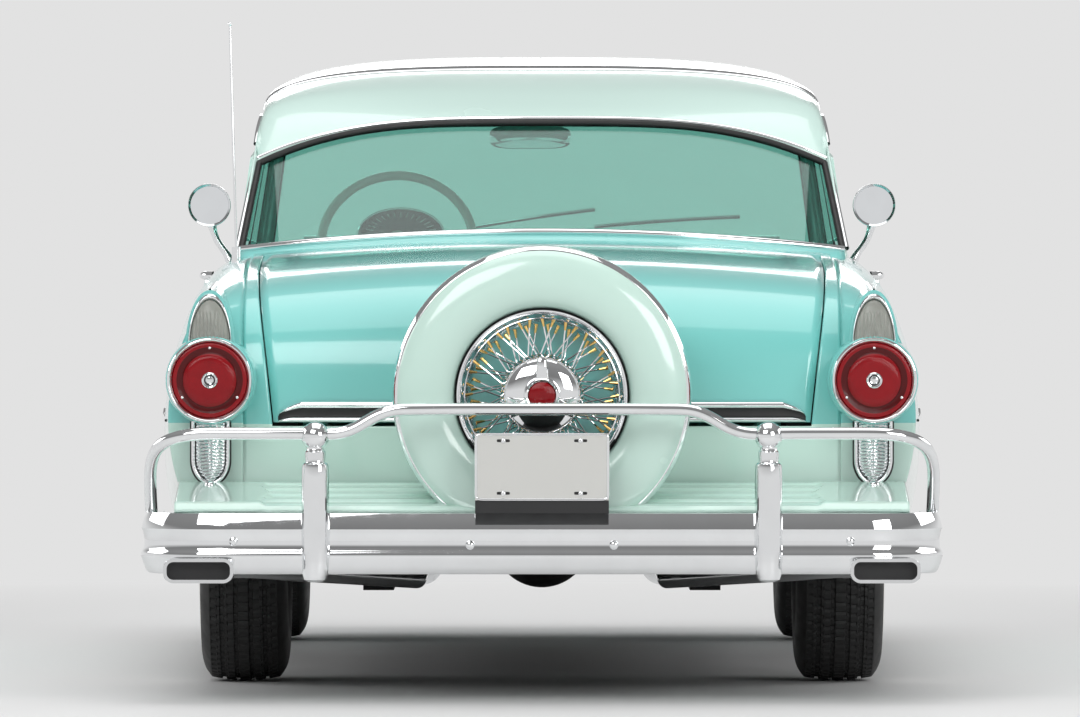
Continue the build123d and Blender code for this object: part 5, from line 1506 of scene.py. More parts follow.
@dataclass
class WireWheel:
    """A chromed wire wheel: stepped rim, crossed spokes in brass nipples, hub dome and bladed nut."""
    name: str
    body: str
    node: str
    centre: Point
    out: Point
    backing: Backing
    spokes: int = 40
    rows: tuple = (((0.026, 0.093), (0.04, 0.179), 0.2), ((-0.004, 0.068), (0.004, 0.165), 0.34))
    rim: tuple = ((0.066, 0.194), (0.0665, 0.1975), (0.058, 0.198), (0.045, 0.19), (0.03, 0.178),
                  (-0.03, 0.178), (-0.06, 0.19), (-0.075, 0.198), (-0.081, 0.197), (-0.081, 0.19),
                  (-0.06, 0.18), (-0.03, 0.164), (0.01, 0.164), (0.022, 0.168), (0.03, 0.176),
                  (0.044, 0.178), (0.05, 0.184), (0.058, 0.186))
    hub: tuple = ((-0.04, 0.0), (-0.04, 0.062), (-0.01, 0.066), (0.012, 0.074), (0.022, 0.094),
                  (0.03, 0.0955), (0.034, 0.0925), (0.04, 0.091), (0.049, 0.083), (0.056, 0.068),
                  (0.06, 0.052), (0.0615, 0.043), (0.07, 0.042), (0.077, 0.0405), (0.08, 0.037),
                  (0.0785, 0.033), (0.076, 0.0315))

    def axes(self) -> tuple[Array, Array, Array]:
        """The outward axis and two axes across it, the first of them upwards.

        Returns:
            Three unit vectors.
        """
        out = np.asarray(self.out, float)
        up = np.array([0.0, 0.0, 1.0])
        return out, up, np.cross(up, out)

    def at(self, along: Array | float, radius: Array | float, turn: Array) -> Array:
        """Points at a distance along the axis, a radius and an angle from the top.

        Args:
            along: distances outwards.
            radius: distances from the axis.
            turn: angles.
        Returns:
            The points, in the shape of all three together.
        """
        out, up, beside = self.axes()
        along, radius, turn = np.broadcast_arrays(along, radius, turn)
        return (np.asarray(self.centre, float) + along[..., None] * out
                + radius[..., None] * (np.cos(turn)[..., None] * up + np.sin(turn)[..., None] * beside))

    def ring(self, rows: Sequence[Sequence[float]], count: int) -> Array:
        """A profile of (distance along, radius) turned about the wheel's axis.

        Args:
            rows: the profile.
            count: steps round.
        Returns:
            A grid, closed in its second direction.
        """
        p = np.asarray(rows, float)
        turn = full_turn(count)[None, :]
        return self.at(p[:, :1], p[:, 1:], turn)

    def build(self) -> None:
        """Makes the wheel as one piece on its body."""
        behind = {Backing.BODY_PAINT: AQUA, Backing.DRUM: IRON}[self.backing]
        skin = Skin(self.name, [CHROME, BRASS, behind, RED_LENS])
        skin.add(self.ring(self.rim, 120), wrap_u=True, wrap_v=True)
        skin.add(self.ring(self.hub, 72), wrap_v=True)
        skin.add(self.ring(((-0.034, 0.165), (-0.038, 0.12), (-0.0395, 0.0)), 72), wrap_v=True, mark=2)
        dome = ((0.0765, 0.0312), (0.08, 0.03), (0.0835, 0.022), (0.085, 0.011), (0.0854, 0.0))
        skin.add(self.ring(dome, 48), wrap_v=True, mark=3)
        self.lace(skin)
        self.blades(skin)
        skin.build(self.body, "chrome", replaces=[self.node])

    def lace(self, skin: Skin) -> None:
        """Adds both rows of spokes, leaning forward and back in turn, with a nipple at each rim end.

        Args:
            skin: takes the surfaces.
        """
        turn = full_turn(self.spokes)
        lean = np.where(np.arange(self.spokes) % 2 == 0, 1.0, -1.0)
        for hub_end, rim_end, angle in self.rows:
            start = self.at(*hub_end, turn + lean * angle)
            end = self.at(*rim_end, turn)
            neck = end + 0.02 * unit(start - end)
            for rod in rods(start, end, (0.0019, 0.0019)):
                skin.add(rod, wrap_v=True)
            for rod in rods(end, neck, (0.0044, 0.0026), 8):
                skin.add(rod, wrap_v=True, mark=1)
            turn = turn + np.pi / self.spokes

    def blades(self, skin: Skin) -> None:
        """Adds the nut's three blades: a rounded oblong section carried outwards, thinning to a blunt tip.

        Args:
            skin: takes the surfaces.
        """
        reach = np.array([0.03, 0.044, 0.06, 0.076, 0.086, 0.0895, 0.0895])
        wide = np.array([0.015, 0.014, 0.0128, 0.0118, 0.0105, 0.008, 0.0])
        thick = np.array([0.01, 0.0105, 0.011, 0.0105, 0.0085, 0.006, 0.0])
        oblong = round_box(1.0, 1.0, 3.5, 24)
        out, up, beside = self.axes()
        for turn in np.radians((0.0, 120.0, 240.0)):
            ray = math.cos(turn) * up + math.sin(turn) * beside
            side = np.cross(ray, out)
            skin.add(np.asarray(self.centre, float) + reach[:, None, None] * ray
                     + (0.0655 + thick[:, None] * oblong[None, :, 1])[..., None] * out
                     + (wide[:, None] * oblong[None, :, 0])[..., None] * side, wrap_v=True)


@dataclass
class Tyre:
    """A cross-ply tyre: round sidewalls with a white band, and a tread of notched ribs between grooves."""
    name: str
    body: str
    node: str
    centre: Point
    side: Side
    radius: float = 0.3455
    half_width: float = 0.107
    grooves: tuple = (-0.052, -0.018, 0.018, 0.052)
    groove_half: float = 0.0042
    groove_depth: float = 0.005
    notches: int = 84

    def profile(self) -> Array:
        """The section from the inner bead over the tread to the outer bead.

        Returns:
            Rows of (distance along the axle, radius).
        """
        w = self.half_width
        wall = through(((-0.07, 0.1985), (-0.088, 0.203), (-0.101, 0.224), (-w, 0.26), (-0.1045, 0.292),
                        (-0.096, 0.318), (-0.084, 0.335)), 26)
        a = np.linspace(-0.082, 0.082, 83)
        crown = self.radius - 0.0085 * (a / 0.082) ** 2
        gap = np.min(np.abs(a[:, None] - np.asarray(self.grooves)[None, :]), axis=1)
        tread = stacked(a, crown - self.groove_depth * (gap < self.groove_half))
        return np.concatenate([wall, tread, wall[::-1] * np.array([-1.0, 1.0])])

    def build(self) -> None:
        """Turns the section, cutting notches into the ribs' edges as it goes round."""
        rows = self.profile()
        count = self.notches * 4
        turn = full_turn(count)[None, :]
        a, r = rows[:, :1] * self.side.value, rows[:, 1:]
        on_tread = np.abs(rows[:, :1]) < 0.08
        phase = self.notches * turn + 60.0 * rows[:, :1]
        notch = (np.cos(phase) > 0.75) & on_tread & (r > self.radius - 0.013)
        r = r - 0.004 * notch
        grid = stacked(a, r * np.sin(turn), r * np.cos(turn)) + np.asarray(self.centre, float)
        middle = 0.5 * (rows[1:] + rows[:-1])
        white = (middle[:, 0] > 0.085) & (middle[:, 1] > 0.219) & (middle[:, 1] < 0.288)
        marks = np.append(white, False).astype(int)[:, None]
        skin = Skin(self.name, [RUBBER, WHITEWALL]).add(grid, wrap_u=True, wrap_v=True, mark=marks)
        skin.build(self.body, "tyre", replaces=[self.node])


@dataclass
class RoadWheels:
    """The four road wheels with their tyres."""
    front: float = 4.414
    rear: float = 1.48
    axle_z: float = 0.346
    front_x: float = 0.737
    rear_x: float = 0.72
    wheel_out: float = 0.0055

    def build(self) -> None:
        """Makes a wheel and a tyre at each corner."""
        for side in Side:
            for end, station, x in (("front", self.front, self.front_x), ("rear", self.rear, self.rear_x)):
                corner, y = f"{end}_{side.word}", float(place(station))
                middle = (side.value * x, y, self.axle_z)
                Tyre(f"tyre_body_{corner}", f"wheel_{corner}", f"tyre_{corner}", middle, side).build()
                middle = (side.value * (x + self.wheel_out), y, self.axle_z)
                WireWheel(f"wire_wheel_{corner}", f"wheel_{corner}", f"wheel_{corner}", middle,
                          (float(side.value), 0.0, 0.0), Backing.DRUM).build()


@dataclass
class Spare:
    """The carried spare: a ring-shaped cover with a bright band on its rim, round a wire wheel."""
    z: float = 0.71
    wheel_station: float = 0.2015
    cover: tuple = ((0.2975, 0.22), (0.2985, 0.33), (0.29, 0.342), (0.255, 0.3475), (0.215, 0.3478),
                    (0.18, 0.346), (0.155, 0.342), (0.139, 0.333), (0.126, 0.314), (0.119, 0.29),
                    (0.1172, 0.266), (0.1205, 0.24), (0.13, 0.218), (0.141, 0.207), (0.152, 0.203),
                    (0.17, 0.202))
    band: tuple = ((0.164, 0.344), (0.16, 0.3462), (0.1545, 0.3455), (0.147, 0.3415), (0.142, 0.337),
                   (0.1415, 0.333))
    gap: tuple = ((0.168, 0.2035), (0.169, 0.19))

    def build(self) -> None:
        """Turns the cover's section about the spare's axis and adds the wheel."""
        skin = Skin("spare_cover_ring", [MINT, CHROME, GASKET])
        for rows, count, mark in ((through(self.cover, 110), 160, 0), (through(self.band, 24), 160, 1),
                                  (self.gap, 96, 2)):
            skin.add(lathe(rows, 0.0, self.z, count), wrap_v=True, mark=mark)
        skin.build("body", "mint_paint", outside=(0, place(0.24), self.z), replaces=["spare_cover"])
        middle = (0.0, float(place(self.wheel_station)), self.z)
        rearwards = (0.0, -1.0, 0.0)
        WireWheel("spare_wire_wheel", "body", "spare_wheel", middle, rearwards, Backing.BODY_PAINT).build()


# Roof, pillars and glass


@dataclass
class Greenhouse:
    """The roof, its pillars, the front and rear glass, and the bright mouldings round them.

    The rear glass lies on a slope that leans forward and bows forward with x squared, the windshield on one
    that leans and bows rearwards, and the sides on a plane that leans inwards.
    """
    centre: tuple = ((1.7915, 1.366), (1.83, 1.385), (1.9, 1.414), (2.0, 1.45), (2.15, 1.49), (2.36, 1.524),
                     (2.62, 1.5395), (2.88, 1.531), (3.08, 1.51), (3.22, 1.484), (3.3716, 1.432))
    edge: tuple = ((1.799, 0.7, 1.266), (1.838, 0.703, 1.297), (1.886, 0.7015, 1.329), (1.936, 0.6975, 1.357),
                   (1.979, 0.6935, 1.376),
                   (2.05, 0.693, 1.384), (2.2, 0.692, 1.386), (2.4, 0.692, 1.387), (2.62, 0.692, 1.387),
                   (2.85, 0.692, 1.387), (3.02, 0.692, 1.386), (3.12, 0.6925, 1.382), (3.18, 0.692, 1.376),
                   (3.225, 0.686, 1.371), (3.258, 0.668, 1.364))
    wall: float = 0.018
    glass_wall: float = 0.005
    glass_depth: float = 0.012
    pillar_edge: float = 0.012
    belt: float = 1.03
    band_at: tuple[float, float] = (0.262, 0.075)
    band_foot: tuple[float, float, float] = (2.046, 1.04, 0.085)

    def side_x(self, z: Array) -> Array:
        """How far out the cabin's side plane is at a height."""
        return 0.752 - 0.169 * (z - self.belt)

    def rear_station(self, z: Array, x: Array) -> Array:
        """The rear slope's station."""
        return 1.335 + 1.4918 * (z - 1.06) + 0.215 * (x / 0.82) ** 2

    def front_station(self, z: Array, x: Array) -> Array:
        """The windshield slope's station."""
        return 3.79 - 1.0952 * (z - 1.05) - 0.3 * (x / 0.842) ** 2

    def top_surface(self, t: Array, q: Array) -> Array:
        """The roof: between its centre line and its edge, height falls as a superellipse of the third power.

        Over the rear glass it opens into the glass's flatter arch, and the rows lie on the rear slope.

        Args:
            t: n places from the rear glass to the windshield, 0 to 1.
            q: m places across, -1 to 1.
        Returns:
            An n by m grid.
        """
        c, e = through(self.centre, 200), through(self.edge, 200)
        at = np.linspace(0, 1, 200)
        cd, cz = (np.interp(t, at, c[:, k])[:, None] for k in (0, 1))
        ed, ex, ez = (np.interp(t, at, e[:, k])[:, None] for k in (0, 1, 2))
        q = np.asarray(q, float)[None, :]
        start = np.clip(1 - t / 0.3, 0, 1)[:, None] ** 2
        round_off = np.maximum(1 - np.abs(q) ** (3 + 0.6 * start), 0.0) ** (1 / (3 - 2 * start))
        on_slope = start * 0.149 * (q ** 2 - np.abs(q) ** 3.6)
        station = cd + (ed - cd) * q ** 2 + on_slope
        return stacked(ex * q, place(station), ez + (cz - ez) * round_off)

    def build(self) -> None:
        """Makes roof, pillars, glass, band and mouldings."""
        q = np.sin(np.linspace(-np.pi / 2, np.pi / 2, 97))
        inside = (0, place(2.5), 1.1)
        # The roof panel takes the lighter mint, a painted highlight for the light from above.
        Skin("roof_panel", [PAINTED_LIGHT_MINT]).add(self.top_surface(np.linspace(0, 1, 110), q)).build(
            "body", "mint_paint", Shade.SMOOTH, outside=inside, replaces=["roof"], thickness=self.wall)
        self.pillars(inside)
        self.glass(inside)
        self.band()
        self.mouldings()

    def pillars(self, inside: Point) -> None:
        """Rear and front pillars: from the glass's side edge round the corner to the side window's edge.

        Args:
            inside: a point in the cabin, which the faces look away from.
        """
        # The pillars take the same lighter mint, a painted highlight.
        skin = Skin("roof_pillars", [PAINTED_LIGHT_MINT, AQUA])
        t = np.linspace(0, 1, 24)[None, :, None]
        low = self.belt
        top = np.linspace(low, 1.376, 30)
        for slope, high, edge_x, window, push in (
                (self.rear_station, 1.266, lambda z: self.side_x(z) - self.pillar_edge,
                 1.648 + 0.957 * (top - low), 0.004),
                (self.front_station, 1.364, lambda z: 0.712 - 0.155 * (z - 1.088),
                 3.396 - 0.625 * (top - low), -0.004)):
            z = np.linspace(low, high, 30)
            x, corner_x = edge_x(z), self.side_x(z)
            start = stacked(x, slope(z, x), z)
            knee = stacked(corner_x, slope(z, corner_x) + push, 0.5 * (z + top))
            grid = bent(start[:, None], knee[:, None], stacked(self.side_x(top), window, top)[:, None], t)
            grid[..., 1] = place(grid[..., 1])
            skin.both(grid)
        across = np.linspace(-1, 1, 73)[None, :]
        rise = np.linspace(-0.055, 0.006, 8)[:, None]
        for slope, half in ((self.rear_station, 0.738), (self.front_station, 0.7135)):
            x = half * across + 0 * rise
            z = self.base_z(x) + rise
            skin.add(stacked(x, place(slope(z, x)), z), mark=1)
        skin.build("body", "mint_paint", outside=inside, thickness=self.wall)

    def base_z(self, x: Array) -> Array:
        """The height of both panes' lower edges, which sink with the body's crown."""
        return 1.092 - 0.04 * (x / 0.72) ** 2

    def rear_frame(self, q: Array, grow: float) -> tuple[Array, Callable[[Array], Array]]:
        """The rear glass's top edge, a flat arch, and its half width, both grown outwards by an edge."""
        top = 1.366 + grow - 0.1 * np.abs(q) ** 3.6
        return top, lambda z: self.side_x(z) - self.pillar_edge + grow

    def front_frame(self, q: Array, grow: float) -> tuple[Array, Callable[[Array], Array]]:
        """The windshield's top edge and half width, with tighter corners than the rear glass."""
        top = 1.364 + grow + 0.068 * np.maximum(1 - np.abs(q) ** 3, 0.0) ** (1 / 3)
        return top, lambda z: 0.712 + grow - 0.155 * (z - 1.088)

    def glass(self, inside: Point) -> None:
        """The two panes: upright lines from the base to the top edge, bowed on their slopes.

        Args:
            inside: a point in the cabin, which the faces look away from.
        """
        q = np.sin(np.linspace(-np.pi / 2, np.pi / 2, 81))[None, :]
        u = np.linspace(0, 1, 40)[:, None]
        for name, node, edges, slope, shift in (
                ("rear_pane", "rear_glass", self.rear_frame, self.rear_station, self.glass_depth),
                ("windshield_pane", "windshield", self.front_frame, self.front_station, -self.glass_depth)):
            top, half = edges(q, 0.004)
            low = self.base_z(0.72 * q) - 0.006
            z = low + (top - low) * u
            x = q * half(z)
            Skin(name, [GLASS]).add(stacked(x, place(slope(z, x) + shift), z)).build(
                "body", "glass", Shade.SMOOTH, outside=inside, replaces=[node], thickness=self.glass_wall)

    def band(self) -> None:
        """The bright band: an arched strip laid over the roof and down both sides to the belt."""
        q = np.sin(np.linspace(-np.pi / 2, np.pi / 2, 97))
        s = np.linspace(0, 1, 13)
        over = self.top_surface(self.band_at[0] + self.band_at[1] * s, q)
        rear, low, width = self.band_foot
        z = np.linspace(low, 1.384, 24)[1:]
        foot = rear + 0.345 * (z - low)[None, :] + width * s[:, None]
        foot[:, -1] = over[:, -1, 1] + LENGTH / 2
        right = stacked(self.side_x(z) + 0.001, place(foot), z)[:, ::-1]
        left = mirrored(right)[:, ::-1]
        grid = np.concatenate([left[:, :-1], over, right[:, 1:]], axis=1)
        normal = unit(np.cross(np.gradient(grid, axis=0), np.gradient(grid, axis=1)))
        inside = (0, place(2.3), 1.0)
        normal *= np.sign(np.sum(normal * (grid - np.array(inside)), axis=-1, keepdims=True))
        arch = 0.0012 + 0.0052 * np.sqrt(np.maximum(1 - (2 * s - 1) ** 2, 0.0))
        Skin("crown_strip", [CHROME]).add(grid + normal * arch[:, None, None]).build(
            "body", "chrome", Shade.SMOOTH, outside=inside, replaces=["crown_band"], thickness=0.003)

    def opening(self, edges: Callable, slope: Callable, grow: float) -> Array:
        """The line up one side of a pane, over its top and down the other side.

        Args:
            edges: gives the pane's top edge and half width.
            slope: gives the station for height and x.
            grow: how far outside the pane's edge the line runs.
        Returns:
            Its points.
        """
        q = np.sin(np.linspace(np.pi / 2, -np.pi / 2, 121))
        top, half = edges(q, grow)
        rise = np.linspace(float(self.base_z(0.72)), top[0], 40)[:-1]
        z = np.concatenate([rise, top, rise[::-1]])
        x = np.concatenate([np.ones(39), q, -np.ones(39)]) * half(z)
        return through(stacked(x, place(slope(z, x)), z), 260)

    def mouldings(self) -> None:
        """Black gaskets and bright mouldings round both panes, the strip under each, and the drip rails."""
        skin = Skin("glass_mouldings", [CHROME, GASKET])
        for sign, slope, edges, half in ((1, self.rear_station, self.rear_frame, 0.736),
                                         (-1, self.front_station, self.front_frame, 0.712)):
            lean = (0, 1, -0.6 * sign)
            skin.add(tube(self.opening(edges, slope, -0.004), 0.0085, 12, up=lean), wrap_v=True, mark=1)
            skin.add(tube(self.opening(edges, slope, 0.007), 0.0062, 12, up=lean), wrap_v=True)
            x = np.linspace(-half, half, 90)
            z = self.base_z(x)
            base = stacked(x, place(slope(z, x)) - 0.004 * sign, z)
            skin.add(tube(base, 0.0085, 12), wrap_v=True)
        rail = through(self.edge, 160)[8:-6]
        rail = stacked(rail[:, 1] + 0.004, place(rail[:, 0]), rail[:, 2] - 0.001)
        skin.both(tube(rail, 0.0058, 10), wrap_v=True)
        skin.build("body", "chrome", Shade.SMOOTH)


# The cabin


@dataclass
class SeatPad:
    """One upholstered pad: a rounded section carried across, swollen as cloth, then sewn in channels."""
    name: str
    corners: tuple
    half: float
    facing: Point
    node: str
    voxel: float = 0.01
    cap: float = 0.012
    channel: float = 0.105
    sewn: float = 0.0075

    def shell(self) -> Array:
        """The pad's closed form: a squarish superellipse laid between four corners and drawn in at both ends.

        Returns:
            A grid closed in its second direction, with a pole at each end.
        """
        ring = round_box(1.0, 1.0, 5.0, 72)
        v = np.sin(np.linspace(-np.pi / 2, np.pi / 2, 90))[:, None]
        draw = np.maximum(1 - np.abs(v) ** 9, 0.0) ** (1 / 9)
        a, b = draw * ring[None, :, 0], draw * ring[None, :, 1]
        low_rear, low_front, top_front, top_rear = (np.asarray(c, float) for c in self.corners)
        weight = [(1 - a) * (1 - b), (1 + a) * (1 - b), (1 + a) * (1 + b), (1 - a) * (1 + b)]
        flat = sum(w[..., None] * c for w, c in zip(weight, (low_rear, low_front, top_front, top_rear))) / 4
        return stacked(self.half * v, place(flat[..., 0]), flat[..., 1])

    def build(self, finishes: list[Finish]) -> None:
        """Makes the pad, remeshes and swells it, sews its channels and sets it on the body.

        Args:
            finishes: the border's and the sitting side's.
        """
        skin = Skin(self.name, finishes).add(self.shell(), wrap_v=True)
        obj = skin.build("body", "seat_vinyl", Shade.SMOOTH, replaces=[self.node] if self.node else [])
        self.remesh(obj)
        self.swell(obj)
        self.sew(obj)
        shade_mesh(obj.data, Shade.SMOOTH)
        soft = obj.modifiers.new("soft", "SUBSURF")
        soft.levels = soft.render_levels = 1

    def remesh(self, obj: bpy.types.Object) -> None:
        """Lays an even grid of small faces over the pad.

        Args:
            obj: the pad's object.
        """
        even = obj.modifiers.new("even", "REMESH")
        even.mode = "VOXEL"
        even.voxel_size = self.voxel
        shape = obj.evaluated_get(bpy.context.evaluated_depsgraph_get())
        mesh = bpy.data.meshes.new_from_object(shape)
        obj.modifiers.remove(even)
        old, obj.data = obj.data, mesh
        bpy.data.meshes.remove(old)
        mesh.name = self.name

    def swell(self, obj: bpy.types.Object) -> None:
        """Blows the pad up a little as cloth, and keeps each point within the cap of where it began.

        Args:
            obj: the pad's object.
        """
        start = points_of(obj.data)
        cloth = obj.modifiers.new("swell", "CLOTH")
        cloth.settings.use_pressure = True
        cloth.settings.uniform_pressure_force = 4.0
        cloth.settings.effector_weights.gravity = 0.0
        cloth.settings.quality = 4
        cloth.point_cache.frame_start, cloth.point_cache.frame_end = 1, 20
        scene = bpy.context.scene
        for step in range(1, 21):
            scene.frame_set(step)
        shape = obj.evaluated_get(bpy.context.evaluated_depsgraph_get()).data
        move = points_of(shape) - start
        obj.modifiers.remove(cloth)
        scene.frame_set(1)
        length = np.linalg.norm(move, axis=1, keepdims=True)
        move *= np.minimum(1.0, self.cap / np.maximum(length, 1e-9))
        obj.data.vertices.foreach_set("co", (start + move).ravel())
        obj.data.update()

    def sew(self, obj: bpy.types.Object) -> None:
        """Draws in channels on the sitting side, a narrow bell across each seam, and paints the border.

        Args:
            obj: the pad's object.
        """
        mesh = obj.data
        at = points_of(mesh)
        normals = np.zeros(len(mesh.vertices) * 3)
        mesh.vertices.foreach_get("normal", normals)
        normals = normals.reshape(-1, 3)
        inside = np.abs(at[:, 0]) < self.half - 0.1
        faces_sitter = np.clip((normals @ np.asarray(self.facing, float) - 0.55) / 0.3, 0, 1)
        off = (at[:, 0] / self.channel + 0.5) % 1.0 - 0.5
        depth = self.sewn * np.exp(-(off * self.channel / 0.0085) ** 2) * faces_sitter * inside
        mesh.vertices.foreach_set("co", (at - normals * depth[:, None]).ravel())
        count = len(mesh.polygons)
        middle, facing = np.zeros(count * 3), np.zeros(count * 3)
        mesh.polygons.foreach_get("center", middle)
        mesh.polygons.foreach_get("normal", facing)
        sitting = facing.reshape(-1, 3) @ np.asarray(self.facing, float) > 0.55
        pale = sitting & (np.abs(middle.reshape(-1, 3)[:, 0]) < self.half - 0.1)
        mesh.polygons.foreach_set("material_index", pale.astype(np.int32))
        mesh.update()


def points_of(mesh: bpy.types.Mesh) -> Array:
    """A mesh's points as an n by 3 array.

    Args:
        mesh: the mesh.
    Returns:
        Its points, in the mesh's own order.
    """
    flat = np.zeros(len(mesh.vertices) * 3)
    mesh.vertices.foreach_get("co", flat)
    return flat.reshape(-1, 3)


@dataclass
class Seats:
    """The front and rear bench seats: a cushion and a leaning back each, and the front seat's feet."""
    up: Point = (0.0, 0.0, 1.0)
    forward: Point = (0.0, 0.98, 0.17)

    def build(self) -> None:
        """Makes the four pads and the feet."""
        for name, corners, half, facing, node in (
                ("front_cushion", ((2.476, 0.462), (2.812, 0.462), (2.814, 0.622), (2.462, 0.6)), 0.622,
                 self.up, "front_seat"),
                ("front_back", ((2.346, 0.47), (2.462, 0.47), (2.378, 0.994), (2.26, 0.994)), 0.624,
                 self.forward, ""),
                ("rear_cushion", ((1.736, 0.58), (2.024, 0.58), (2.024, 0.712), (1.732, 0.696)), 0.542,
                 self.up, "rear_seat"),
                ("rear_back", ((1.604, 0.58), (1.714, 0.58), (1.656, 0.962), (1.546, 0.962)), 0.542,
                 self.forward, "")):
            SeatPad(name, corners, half, facing, node).build([VINYL, PALE_VINYL])
        foot = round_box(0.024, 0.178, 12.0, 48)
        z, scale = np.array(((0.3368, 0.0), (0.3368, 1.0), (0.47, 1.0), (0.47, 0.0))).T[:, :, None]
        feet = stacked(0.42 + foot[:, 0] * scale, place(2.58) + foot[:, 1] * scale, z)
        Skin("seat_feet", [FRAME_BLACK]).both(feet, wrap_v=True).build("body", "dark_steel")


@dataclass
class SteeringWheel:
    """The steering wheel: a thin ring on two dropped spokes, with a bright half ring and a domed hub."""
    centre: tuple[float, float, float] = (-0.37, 2.89, 1.062)
    rake: float = 25.0
    radius: float = 0.1955
    grip: float = 0.012
    spoke: tuple = ((0.06, -0.012), (0.12, -0.03), (0.186, -0.058))
    hub: tuple = ((-0.028, 0.0), (-0.028, 0.033), (0.008, 0.0335), (0.016, 0.031), (0.019, 0.026),
                  (0.0195, 0.024), (0.0195, 0.0))

    def at(self, along: Array, across: Array, rise: Array) -> Array:
        """Points from distances along the column, across the car and up the wheel's own plane.

        Args:
            along: towards the driver.
            across: to the right.
            rise: up the plane.
        Returns:
            The points, in the shape of all three together.
        """
        lean = math.radians(self.rake)
        x, station, z = self.centre
        return stacked(x + across, place(station) - along * math.cos(lean) + rise * math.sin(lean),
                       z + along * math.sin(lean) + rise * math.cos(lean))

    def ring(self, radius: float, grip: float, start: float, end: float, count: int, along: float) -> Array:
        """A round section carried along an arc: radius plus grip times cos, and grip times sin along.

        Args:
            radius: the arc's radius.
            grip: the section's radius.
            start: first angle.
            end: last angle.
            count: places along the arc.
            along: how far off the plane.
        Returns:
            A grid, closed in its second direction.
        """
        turn = np.linspace(start, end, count)[:, None]
        round_ = full_turn(16)[None, :]
        reach = radius + grip * np.cos(round_)
        return self.at(along + grip * np.sin(round_), reach * np.sin(turn), reach * np.cos(turn))

    def build(self) -> None:
        """Makes the wheel as one piece on its own body."""
        skin = Skin("steering_ring", [WHEEL_RIM, CHROME])
        skin.add(self.ring(self.radius, self.grip, 0, 2 * np.pi, 121, 0.0)[:-1], wrap_u=True, wrap_v=True)
        skin.add(self.ring(0.118, 0.0045, np.radians(95), np.radians(265), 60, 0.016), wrap_v=True, mark=1)
        for side in (1, -1):
            path = through([(0.02, 0.0)] + [(side * x, z) for x, z in self.spoke], 24)
            span = np.linspace(-1, 1, 24)[:, None]
            section = round_box(1.0, 1.0, 3.0, 16)[None]
            wide = 0.015 + 0.003 * span ** 2
            skin.add(self.at(0.004 + 0.0075 * section[..., 0], path[:, :1],
                             path[:, 1:] + wide * section[..., 1]), wrap_v=True)
        along, radius = np.array(self.hub).T[:, :, None]
        turn = full_turn(48)[None, :]
        skin.add(self.at(along, radius * np.sin(turn), radius * np.cos(turn)), wrap_v=True,
                 mark=np.array([0, 0, 0, 0, 1, 1])[:, None])
        skin.build("steering_wheel", "wheel_rim_plastic", replaces=["steering_wheel"])


